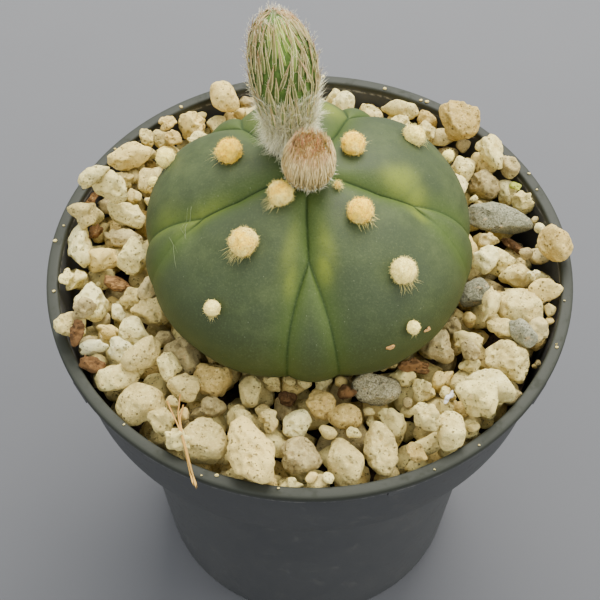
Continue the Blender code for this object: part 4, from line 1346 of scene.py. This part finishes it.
add_fibres("skin_scars", scar_parts, scar_skin)
print(len(scar_parts), "scars on the skin")

# %% [markdown]
# ## Wool on the areoles
# An areole is the cushion that a cactus grows its spines and buds from. On this plant it has no
# spines, only a round pad of dense felt, cream when old and orange where it is fresh, with a
# few loose hairs at the lower edge. Each pad is a lumpy ball under short hairs. The hairs alone
# would show the skin between them, and the ball alone would look like clay.

# %% Fibre colours
tinted, come, leave = new_group(
    "fibre_tint", (("Root", "Color"), ("Tip", "Color"), ("Tone", "Float"), ("Along", "Float"),
                   ("Spread", "Float")), (("Color", "Color"),))
shade = blend(tinted, ramp(tinted, come["Along"], 0.0, 0.8), come["Root"], come["Tip"])
spread = times(tinted, come["Tone"], come["Spread"])
lighter = put(tinted, "ShaderNodeHueSaturation", Value=maths(tinted, "ADD", 1.0, spread),
              Color=shade)
feed(tinted, leave["Color"], lighter.outputs["Color"])


def fibre_colour(tree, root, tip, spread):
    """Colour of a fibre from its root to its tip, spread by its tone."""
    return place_group(tree, tinted, Root=root, Tip=tip, Tone=attribute(tree, "tone"),
                       Along=attribute(tree, "along"), Spread=spread)["Color"]


print("fibre tint mixed")

# %% Felt
CREAM_TIP, ORANGE_TIP = (1.0, 0.87, 0.27), (1.0, 0.67, 0.035)
CREAM_ROOT, ORANGE_ROOT = (0.96, 0.77, 0.20), (0.93, 0.57, 0.035)
felt, tree, shader, where = new_material("areole_felt", 0.95, 0.15)
feed(tree, shader.inputs["Sheen Weight"], 0.15)
warm = attribute(tree, "warm")
blotch = noise(tree, where, 0.55, 3.0)
blotched = times(tree, maths(tree, "SUBTRACT", blotch, 0.5), 1.6)
warmth = ramp(tree, maths(tree, "ADD", warm, blotched), 0.15, 1.05)
tip_colour = blend(tree, warmth, CREAM_TIP, ORANGE_TIP)
root_colour = blend(tree, warmth, CREAM_ROOT, ORANGE_ROOT)
brown = times(tree, ramp(tree, noise(tree, where, 2.6, 2.0), 0.60, 0.66),
              attribute(tree, "speckled"))
colour = fibre_colour(tree, root_colour, tip_colour, 0.22)
colour = blend(tree, times(tree, brown, 0.75), colour, (0.30, 0.17, 0.08))
crumb = noise(tree, where, 3.4, 2.0)
# Where the crumb noise is low, which is also the low part of the felt's relief, the felt turns a
# darker brown: painted shade in its hollows.
colour = blend(tree, ramp(tree, crumb, 0.46, 0.32, 0.0, 0.55), colour, (0.52, 0.33, 0.09))
finish(tree, shader, colour, crumb, 0.8, 0.15 * MM)
print("felt mixed")

# %% Looks of the pads
# Warmth, brown specks and length of nap of each pad; an unlisted pad is plain cream.
PAD_LOOKS = {"a1": (0.50, 0.5, 1.3), "a2": (0.62, 1.0, 1.0), "a3": (0.05, 0.6, 1.0),
             "b1": (0.3, 0.0, 2.4), "b2": (0.92, 0.3, 1.0), "b3": (0.05, 0.3, 1.0),
             "b4": (-0.2, 0.2, 1.0), "c1": (0.85, 0.2, 1.0), "c2": (0.05, 0.4, 1.1),
             "d1": (0.10, 0.2, 1.0), "e1": (1.0, 0.2, 1.0), "e2": (-0.15, 0.2, 1.0)}
FILL = 0.85
NAP_LEAST, NAP_MOST = 0.34 * MM, 0.55 * MM
NAP_DENSITY = 27
NAP_WIDTH, LOOSE_WIDTH = 0.030 * MM, 0.027 * MM
print(len(PAD_LOOKS), "pads have a look of their own")

# %% Areole pads
def wool_pad(name, seed):
    """One pad of felt with its loose hairs."""
    rng = random_numbers(seed)
    corners = node_points(name)
    turn, fall = (np.array(value) for value in skin_place(corners.mean(axis=0)))
    foot, out = skin_point(turn, fall), skin_normal(turn, fall)
    down = unit(skin_point(turn, fall + 1.0) - skin_point(turn, fall - 1.0))
    frame_axes = np.stack([np.cross(out, down), -down, out])
    rise = ((corners - foot) @ out).max()
    half = FILL * np.linalg.norm(np.cross(corners - foot, out), axis=1).max()
    warmth, specks, length = PAD_LOOKS.get(name[-2:], (0.0, 0.0, 1.0))
    nap = np.clip(0.22 * half, NAP_LEAST, NAP_MOST) * length
    radii = np.array([half - nap, half - nap, (rise - nap) * 0.62])
    seed_lump = int(rng.integers(1_000_000))
    core = core_ball(4, radii, lambda points: (
        0.22 * MM * lumps(points, 1.5 * MM, seed_lump) + 0.20 * MM * lumps(
            points, 0.42 * MM, seed_lump + 1)) * half / (2.8 * MM), (0.0, 0.5))
    lift = (rise - nap) * 0.40
    area = (half / MM) ** 2 * 2 * math.pi
    picks = rng.integers(len(core["points"]), size=int(NAP_DENSITY * area))
    picks = picks[core["points"][picks, 2] > -0.55 * radii[2]]
    ways = scattered(rng, core["points"][picks] / radii ** 1.3 * radii.mean(), 0.38)
    nap_hairs = hairs(rng, core["points"][picks], ways, nap * rng.uniform(0.7, 1.25, len(picks)),
                      NAP_WIDTH, 0.7, strip=(0.5, 0.9))
    loose = int(10 + 8 * half / MM)
    spread = rng.normal(0.0, 0.45, loose)
    roots = np.stack([np.sin(spread) * radii[0] * 0.8, -np.cos(spread) * radii[1] * 0.8,
                      -rng.uniform(0.1, 0.6, loose) * radii[2]], axis=1)
    ways = unit(np.stack([np.sin(spread) * 0.5 + rng.normal(0, 0.3, loose),
                          -np.ones(loose), rng.uniform(-0.10, 0.35, loose)], axis=1))
    loose_hairs = hairs(rng, roots, ways, half * rng.uniform(0.35, 1.1, loose), LOOSE_WIDTH, 0.5,
                        (0, 0, -0.12), (0.9, 1.0))
    parts = [core, nap_hairs, loose_hairs]
    local = np.concatenate([part["points"] for part in parts])
    warm_side = warmth + 0.25 - 0.6 * (local[:, :2] ** 2).sum(axis=1) / half ** 2
    fading = np.concatenate([none_on(part) + (part is loose_hairs) for part in parts])
    for part in parts:
        part["points"] = (part["points"] + [0.0, 0.0, lift]) @ frame_axes + foot
    add_fibres(f"felt_{name[-2:]}", parts, felt, [name],
               {"warm": warm_side - 0.9 * fading, "speckled": np.full(len(local), specks)})


for number, name in enumerate(nodes_named("areole_wool_")):
    wool_pad(name, 500 + number)

# %% [markdown]
# ## The flower buds
# Two buds rise from the youngest areoles. The large one is a green cone wrapped in narrow pale
# scales, each ending in a brown point with a tuft of hair, and its lower part is lost in grey
# wool. The small one is still shut, a squat tuft of bristles with red-brown tips. Scales follow
# a spiral with the golden angle between one and the next, as they do on a real bud, because
# that spaces them evenly without any row lining up.

# %% Bud outline
BUD_OUTLINE = ((0.0, 0.0), (0.03, 0.56), (0.14, 0.70), (0.30, 0.88), (0.50, 1.0), (0.66, 0.98),
               (0.80, 0.84), (0.89, 0.62), (0.94, 0.42), (0.97, 0.22), (0.98, 0.0))
BRUSH_CORE = ((0.0, 0.0), (0.03, 0.50), (0.20, 0.78), (0.42, 0.86), (0.58, 0.76), (0.70, 0.48),
              (0.76, 0.24), (0.78, 0.0))
BRUSH_OUTLINE = ((0.0, 0.30), (0.05, 0.62), (0.20, 0.90), (0.42, 1.0), (0.65, 0.97), (0.85, 0.82),
                 (1.0, 0.70), (1.15, 0.62))
GOLDEN_TURN = math.radians(137.508)
print("outlines of the buds set")

# %% Where a bud stands
class Bud:
    """Where a bud stands, how its tip bends, and the surface of its outline."""

    def __init__(self, name, bend):
        middle, axes, size = node_axes(name)
        self.axis = axes[0] * np.sign(axes[0][2])
        self.length = size[0]
        self.half = (size[1] + size[2]) / 4
        self.foot = middle - self.axis * self.length / 2
        self.east = unit(np.cross([0.0, 1.0, 0.0], self.axis))
        self.north = np.cross(self.axis, self.east)
        self.bend = np.array(bend)

    def around(self, turn):
        """The way out from the axis at a turn."""
        turn = np.asarray(turn)[..., None]
        return self.east * np.cos(turn) + self.north * np.sin(turn)

    def points(self, share, turn, swell=1.0, out=0.0, outline=BUD_OUTLINE):
        """Points on an outline, or out from it."""
        shares, widths = np.array(outline).T
        radius = np.interp(share, shares, widths) * self.half * swell + out
        radius = np.maximum(radius, 0.05 * self.half)
        share = np.asarray(share)[..., None]
        middle = self.foot + self.axis * share * self.length + self.bend * share ** 2
        return middle + self.around(turn) * radius[..., None]


large_bud = Bud("flower_bud_large", (-1.9 * MM, 0.0, 0.0))
small_bud = Bud("flower_bud_small", (0.5 * MM, 0.4 * MM, 0.0))
print("large bud", round(large_bud.length / MM, 1), "mm, small bud",
      round(small_bud.length / MM, 1), "mm")

# %% Core and climbing paths of a bud
def bud_core(bud, swell, outline=BUD_OUTLINE, rows=36, steps=48, strip=(0.0, 0.5)):
    """The shut bud under its scales, mapped row by row."""
    top_share = outline[-1][0]
    shares = np.linspace(0.015, top_share - 0.012, rows)
    turns = np.linspace(0.0, 2 * math.pi, steps + 1)
    share_grid, turn_grid = np.meshgrid(shares, turns, indexing="ij")
    grid = bud.points(share_grid, turn_grid, swell, outline=outline)
    ends = [bud.foot, bud.foot + bud.axis * bud.length * (top_share - 0.005) + bud.bend]
    points = np.vstack([grid[:, :-1].reshape(-1, 3), ends])
    quads = grid_faces(rows, steps)[:, ::-1]
    foot_cap, top_cap = (cap[:, [0, 2, 1]] for cap in end_caps(rows, steps))
    across = strip[0] + (strip[1] - strip[0]) * np.arange(steps + 1) / steps
    u, v = np.meshgrid(across, 0.03 + 0.94 * np.linspace(0.0, 1.0, rows))
    chart = np.stack([u, v], axis=-1)
    quad_map = np.stack([chart[:-1, 1:], chart[1:, 1:], chart[1:, :-1], chart[:-1, :-1]], axis=2)
    half_step = (across[1] - across[0]) / 2
    foot_map = np.stack([np.stack([across[:-1] + half_step, np.zeros(steps)], axis=1),
                         chart[0, 1:], chart[0, :-1]], axis=1)
    top_map = np.stack([np.stack([across[:-1] + half_step, np.ones(steps)], axis=1),
                        chart[-1, :-1], chart[-1, 1:]], axis=1)
    return {"points": points, "faces": [quads, foot_cap, top_cap],
            "map": [quad_map.reshape(-1, 2), foot_map.reshape(-1, 2), top_map.reshape(-1, 2)],
            "tone": np.zeros(len(points)), "along": np.zeros(len(points))}


def lengthwise(bud, rng, shares, turns, reach, stations, swell, tip_out, wander=0.05,
               outline=BUD_OUTLINE):
    """Paths that climb a bud from given places, and lift at their tips."""
    climb = np.linspace(0.0, 1.0, stations)
    share = shares[:, None] + reach[:, None] * climb / bud.length
    turn = turns[:, None] + rng.normal(0.0, wander, (len(shares), 1)) * climb
    return bud.points(share, turn, swell, tip_out * climb ** 3, outline)


print("bud helpers ready")

# %% Bud materials
bud_green, tree, shader, where = new_material("bud_green", 0.6, 0.3)
streak = noise(tree, where, 1.4, 3.0)
green = blend(tree, ramp(tree, streak, 0.35, 0.65), (0.050, 0.095, 0.012), (0.095, 0.165, 0.024))
green = blend(tree, attribute(tree, "woolly"), green, (0.42, 0.37, 0.22))
green = blend(tree, attribute(tree, "lime"), green, (0.26, 0.42, 0.055))
finish(tree, shader, green, streak, 0.4, 0.1 * MM)

scale_skin, tree, shader, where = new_material("bud_scale", 0.7, 0.25)
pale = blend(tree, ramp(tree, noise(tree, where, 0.5, 3.0), 0.4, 0.6), (0.56, 0.50, 0.20),
             (0.76, 0.62, 0.31))
rusty = ramp(tree, noise(tree, where, 1.6, 4.0, 0.7), 0.54, 0.66, 0.0, 0.65)
pale = blend(tree, rusty, pale, (0.36, 0.18, 0.08))
pale = blend(tree, attribute(tree, "lime"), pale, (0.46, 0.58, 0.13))
leafy = ramp(tree, attribute(tree, "green"), 0.12, 0.60, 0.0, 0.95)
pale = blend(tree, leafy, pale, blend(tree, attribute(tree, "lime"), (0.085, 0.125, 0.026),
                                      (0.21, 0.34, 0.030)))
tip_tint = blend(tree, attribute(tree, "brown"), pale, (0.36, 0.12, 0.055))
finish(tree, shader, fibre_colour(tree, pale, tip_tint, 0.22))

bud_wool, tree, shader, where = new_material("bud_wool", 0.9, 0.15)
brown = attribute(tree, "brown")
finish(tree, shader, fibre_colour(
    tree, blend(tree, brown, (0.74, 0.70, 0.40), (0.32, 0.12, 0.05)),
    blend(tree, brown, (0.97, 0.93, 0.64), (0.46, 0.24, 0.11)), 0.2))

bristle, tree, shader, where = new_material("bristle", 0.75, 0.25)
bristle_tip = blend(tree, attribute(tree, "brown"), (0.88, 0.73, 0.36), (0.33, 0.085, 0.035))
finish(tree, shader, fibre_colour(tree, (0.56, 0.40, 0.15), bristle_tip, 0.25))
print("bud materials mixed")

# %% Core of the large bud
SCALE_COUNT, SCALE_STATIONS, SCALE_SIDES = 165, 8, 8
SCALE_LENGTH = 6.6 * MM
SCALE_HALF_WIDTH = 0.36 * MM
SCALE_WIDTHS = (0.55, 0.9, 1.0, 0.92, 0.72, 0.46, 0.22)
SCALE_TIP_OUT = 0.7 * MM
FRONT_TURN = math.radians(-90.0)
rng = random_numbers(700)
core = bud_core(large_bud, 0.88, strip=(0.0, 1.0))
height = (core["points"] - large_bud.foot) @ large_bud.axis / large_bud.length
bearing = np.arctan2((core["points"] - large_bud.foot) @ large_bud.north,
                     (core["points"] - large_bud.foot) @ large_bud.east)


def lime_zone(share, turn):
    """Bright young green high on the front of the bud."""
    gap = (np.angle(np.exp(1j * (turn - FRONT_TURN - 0.2))) / 0.55) ** 2
    return np.exp(-gap - ((share - 0.93) / 0.12) ** 2)


add_fibres("bud_large_core", [core], bud_green, ["flower_bud_large"],
           {"lime": lime_zone(height, bearing), "woolly": ease(-height, -0.48, -0.12)})

# %% Scales of the large bud
number = np.arange(SCALE_COUNT)
shares = 0.16 + 0.76 * ((number + 0.5) / SCALE_COUNT) ** 0.75
turns = number * GOLDEN_TURN
reach = SCALE_LENGTH * rng.uniform(0.85, 1.15, SCALE_COUNT)
room = (0.98 - shares) * large_bud.length - rng.uniform(-0.8, 1.0, SCALE_COUNT) * MM
reach = np.minimum(reach, room)
paths = lengthwise(large_bud, rng, shares, turns, reach, SCALE_STATIONS, 0.92, SCALE_TIP_OUT, 0.19)
widths = SCALE_HALF_WIDTH * np.array(SCALE_WIDTHS)
widths = widths[None] * rng.uniform(0.65, 1.35, (SCALE_COUNT, 1))
order = np.argsort(rng.uniform(size=SCALE_COUNT))
across = np.cross(large_bud.axis, large_bud.around(turns))
scales = rods(paths[order], across[order], widths[order], 0.42, SCALE_SIDES,
              np.linspace(-1.0, 1.0, SCALE_COUNT))
ring_angles = 2 * math.pi * (np.arange(SCALE_SIDES) + 0.5) / SCALE_SIDES
middle_band = np.append(np.tile(1.0 - np.abs(np.cos(ring_angles)), SCALE_STATIONS - 1), 0.0)
size = len(scales["points"]) // SCALE_COUNT
browning = np.clip(rng.uniform(0.3, 1.1, SCALE_COUNT) + 0.7 * (shares - 0.55)
                   - 0.4 * np.cos(turns - FRONT_TURN - 0.25), 0.0, 1.0)
add_fibres("bud_large_scales", [scales], scale_skin, ["flower_bud_large"],
           {"lime": np.repeat(lime_zone(shares + 0.12, turns)[order], size) * 0.9,
            "brown": np.repeat(browning[order], size) * scales["along"] ** 1.6,
            "green": np.tile(middle_band, SCALE_COUNT) * (1.0 - scales["along"]) ** 0.3})

# %% Wool of the large bud
TUFT_HAIRS, DOWN_HAIRS, WOOL_HAIRS = 4, 900, 6000
TUFT_WIDTH, DOWN_WIDTH, WOOL_WIDTH = 0.022 * MM, 0.020 * MM, 0.034 * MM
pick = np.repeat(number, TUFT_HAIRS)
roots = paths[pick, -1] - 0.9 * MM * rng.uniform(0.0, 1.0, (len(pick), 1)) * unit(
    paths[pick, -1] - paths[pick, -2])
ways = scattered(rng, unit(paths[pick, -1] - paths[pick, -2])
                 + 0.45 * large_bud.around(turns[pick]), 0.30)
tufts = hairs(rng, roots, ways, rng.uniform(0.5, 1.5, len(pick)) * MM, TUFT_WIDTH, 0.5,
              strip=(0.12, 0.35))
down_pick = rng.integers(SCALE_COUNT, size=DOWN_HAIRS)
place = rng.integers(1, SCALE_STATIONS - 2, size=DOWN_HAIRS)
roots = paths[down_pick, place]
ways = scattered(rng, unit(paths[down_pick, place + 1] - roots)
                 + 0.35 * large_bud.around(turns[down_pick]), 0.25)
down_hairs = hairs(rng, roots, ways, rng.uniform(0.5, 1.4, DOWN_HAIRS) * MM, DOWN_WIDTH, 0.6,
                   strip=(0.0, 0.12))
shares = 0.44 * rng.uniform(0.0, 1.0, WOOL_HAIRS) ** 1.3
turns = random_turns(rng, WOOL_HAIRS)
roots = large_bud.points(shares, turns, 0.90)
climb = np.where(rng.uniform(size=WOOL_HAIRS) < ease(shares, 0.02, 0.30), 1.0, -0.9)
lean_out = rng.uniform(0.1, 0.9, WOOL_HAIRS) * (1.0 - ease(shares, 0.10, 0.36) * 0.9)
ways = scattered(rng, large_bud.axis * climb[:, None] + lean_out[:, None]
                 * large_bud.around(turns), 0.42 - 0.7 * shares[:, None])
lengths = rng.uniform(1.4, 3.2, WOOL_HAIRS) * MM
ground = skin_point(*(np.array(value) for value in skin_place(large_bud.foot)))[2]
room = (roots[:, 2] - ground + 0.6 * MM) / np.maximum(-ways[:, 2], 0.05)
lengths = np.where(ways[:, 2] < 0.0, np.minimum(lengths, np.maximum(room, 0.8 * MM)), lengths)
wool = hairs(rng, roots, ways, lengths, WOOL_WIDTH, 0.9, strip=(0.35, 1.0))
TUFT_BROWN = 0.75
add_fibres("bud_large_wool", [down_hairs, tufts, wool], bud_wool,
           ["flower_bud_large"],
           {"brown": np.concatenate([none_on(down_hairs), TUFT_BROWN * (1 - tufts["along"]),
                                     none_on(wool)])})

# %% Bristles of the small bud
BRISTLES, RED_HAIRS, FRINGE = 1000, 130, 900
BRISTLE_WIDTH, RED_WIDTH, FRINGE_WIDTH = 0.085 * MM, 0.055 * MM, 0.040 * MM
INNER_DEPTH = 0.85
rng = random_numbers(720)
core = bud_core(small_bud, 0.97, BRUSH_CORE)
shares = 0.03 + 0.80 * rng.uniform(0.0, 1.0, BRISTLES) ** 0.9
turns = random_turns(rng, BRISTLES)
depth = np.where(shares > 0.58, rng.uniform(0.2, 1.0, BRISTLES), rng.uniform(0.90, 1.05, BRISTLES))
inner = depth < INNER_DEPTH
highest = np.where(inner, rng.uniform(0.80, 0.97, BRISTLES), rng.uniform(0.86, 1.10, BRISTLES))
reach = np.minimum(rng.uniform(3.6, 7.6, BRISTLES) * MM, (highest - shares) * small_bud.length)
paths = lengthwise(small_bud, rng, shares, turns, reach, 5, 0.96 * depth[:, None], 0.3 * MM, 0.12,
                   BRUSH_OUTLINE)
widths = BRISTLE_WIDTH * np.array([1.0, 1.0, 0.85, 0.6])[None] * rng.uniform(
    0.7, 1.2, (BRISTLES, 1))
bristles = rods(paths, np.cross(small_bud.axis, small_bud.around(turns)), widths, 1.0, 3,
                np.sort(rng.uniform(-1.0, 1.0, BRISTLES)), (0.5, 0.92))
browning = ease(shares + reach / small_bud.length + np.where(inner, 0.08, 0.0),
                0.85, 0.99) * np.clip(0.8 + rng.normal(0.0, 0.35, BRISTLES), 0.0, 1.0)
size = len(bristles["points"]) // BRISTLES
turns = random_turns(rng, RED_HAIRS)
roots = small_bud.points(rng.uniform(0.80, 0.93, RED_HAIRS), turns, 0.0) + small_bud.around(
    turns) * rng.uniform(0.4, 2.1, (RED_HAIRS, 1)) * MM
ways = scattered(rng, small_bud.axis + 0.10 * small_bud.around(turns), 0.14)
red_tuft = hairs(rng, roots, ways, rng.uniform(1.2, 2.6, RED_HAIRS) * MM, RED_WIDTH, 0.4,
                 strip=(0.92, 1.0))
add_fibres("bud_small_bristles", [core, bristles, red_tuft], bristle,
           ["flower_bud_small"],
           {"brown": np.concatenate([none_on(core), np.repeat(browning, size)
                                     * ease(bristles["along"], 0.50, 1.0),
                                     ease(red_tuft["along"], 0.1, 0.6)])})

# %% Wool of the small bud
turns = random_turns(rng, FRINGE)
shares = 0.45 * rng.uniform(0.0, 1.0, FRINGE) ** 1.5
roots = small_bud.points(shares, turns, 0.92)
climb = rng.uniform(-0.9, 1.0, FRINGE)
ways = scattered(rng, small_bud.axis * climb[:, None] + 0.55 * small_bud.around(turns), 0.35)
fringe = hairs(rng, roots, ways, rng.uniform(0.6, 1.7, FRINGE) * MM, FRINGE_WIDTH, 0.7)
add_fibres("bud_small_wool", [fringe], bud_wool, ["flower_bud_small"],
           {"brown": none_on(fringe)})

# %% [markdown]
# ## Straw and crumbs
# A little of everything falls on a pot: dry blades of grass, a seed, bits of chalk, flakes of
# dead skin, and stone dust on the lip. Each is small, but without them the gravel looks washed.
# The height map says what there is for them to lie on.

# %% Straw
STRAW_POINTS, STRAW_HALF_WIDTH, STRAW_LIFT = 14, 0.15 * MM, 0.35 * MM
# Places that each blade passes through, across and back, in mm.
STRAWS = (((-22.5, -31.3), (-22.6, -35.4), (-21.6, -40.3), (-19.9, -45.1), (-18.6, -48.3)),
          ((-24.6, -33.1), (-22.9, -37.1), (-20.9, -41.6), (-19.6, -45.8), (-18.8, -48.6)),
          ((-21.9, -33.0), (-22.2, -36.4), (-21.3, -40.9), (-20.1, -45.3), (-19.3, -48.0)))
straw_skin, tree, shader, where = new_material("dry_grass", 0.6, 0.35)
finish(tree, shader, fibre_colour(tree, (0.36, 0.18, 0.035), (0.52, 0.30, 0.06), 0.2))


def points_along(corners, count):
    """Points spread along a bent line."""
    corners = np.array(corners)
    share = np.linspace(0.0, 1.0, len(corners))
    return np.stack([np.interp(np.linspace(0, 1, count), share, column) for column in corners.T],
                    axis=1)


def level_under(line, reach=3):
    """Highest level around each point of a line, on the heap or the lip."""
    cells = np.rint(line / CELL).astype(int) + HALF_CELLS
    near = np.array([surface[x - reach:x + reach + 1, y - reach:y + reach + 1] for x, y in cells])
    return np.where(near < BEYOND, near, RIM_TOP).reshape(len(cells), -1).max(axis=1)


straw_paths = []
for corners in STRAWS:
    line = points_along(corners, STRAW_POINTS) * MM
    level = np.convolve(np.pad(level_under(line), 2, "edge"), np.full(5, 0.2), "valid")
    straw_paths.append(np.column_stack([line, level + STRAW_LIFT]))
widths = np.full((len(STRAWS), STRAW_POINTS - 1), STRAW_HALF_WIDTH)
straw = rods(np.array(straw_paths), np.array([(1.0, 0.2, 0.0)] * len(STRAWS)), widths, 0.6, 5,
             np.linspace(-0.6, 0.6, len(STRAWS)))
add_fibres("dry_grass_blades", [straw], straw_skin)

# %% Loose bits
BIT_TONES = {
    "chalky_bit": ((0.80, 0.76, 0.66), (0.90, 0.87, 0.79), (0.94, 0.92, 0.87)),
    "seed_coat": ((0.36, 0.40, 0.05), (0.52, 0.56, 0.09), (0.62, 0.64, 0.15)),
    "dry_flake": ((0.50, 0.25, 0.07), (0.66, 0.38, 0.12), (0.74, 0.48, 0.20))}
BIT_SKINS = {name: pumice_material(name, *tones) for name, tones in BIT_TONES.items()}
# Across, back, length, width and thickness in mm, turn in degrees, and skin.
LOOSE_BITS = (("chalk_front", 24.8, -30.5, 3.2, 1.4, 1.2, 60, "chalky_bit"),
              ("chalk_left", -13.9, -20.8, 2.0, 1.2, 0.9, 20, "chalky_bit"),
              ("seed_right", 40.9, 20.2, 2.6, 1.6, 1.4, -20, "seed_coat"))
for number, (name, x, y, long, wide, thick, degrees, skin_name) in enumerate(LOOSE_BITS):
    grain = turned_grain(random_numbers(900 + number), (long, wide, thick), degrees)
    points = lay(grain, x * MM, y * MM)
    add_piece(name, points, [BALLS[4][1]], BIT_SKINS[skin_name], (),
              {"tone": np.zeros(len(points))})
print(len(LOOSE_BITS), "loose bits")

# %% Flakes on the skin
FLAKE_SIZE = np.array([1.7, 1.0, 0.28]) * MM
FLAKE_LIFT = 0.18 * MM
FLAKES = ((298.0, 79.0), (313.0, 81.0))
for number, place in enumerate(FLAKES):
    turn, fall = map(np.array, place)
    out = skin_normal(turn, fall)
    down = unit(np.cross(out, [0.3, 0.1, 1.0]))
    axes = np.stack([down, np.cross(out, down), out])
    flake = grain_points(random_numbers(920 + number), 3, FLAKE_SIZE) @ axes
    flake += skin_point(turn, fall, FLAKE_LIFT)
    add_piece(f"dry_flake_{number}", flake, [BALLS[3][1]], BIT_SKINS["dry_flake"], (),
              {"tone": np.zeros(len(flake))})
print(len(FLAKES), "flakes")

# %% Dust on the lip
DUST_COUNT, DUST_LIFT = 26, 0.15 * MM
rng = random_numbers(940)
dust = []
for turn in random_turns(rng, DUST_COUNT):
    crumb = grain_points(rng, 2, rng.uniform(0.35, 0.9) * MM * np.array([1.0, 0.8, 0.6]))
    reach = RIM_RADIUS - rng.uniform(0.6, 1.8) * MM
    dust.append(crumb + [reach * math.cos(turn), reach * math.sin(turn), RIM_TOP + DUST_LIFT])
add_piece("lip_dust", np.vstack(dust), [repeated(BALLS[2][1], len(dust[0]), len(dust))],
          PUMICE["beige"], (), {"tone": np.zeros(len(dust) * len(dust[0]))})
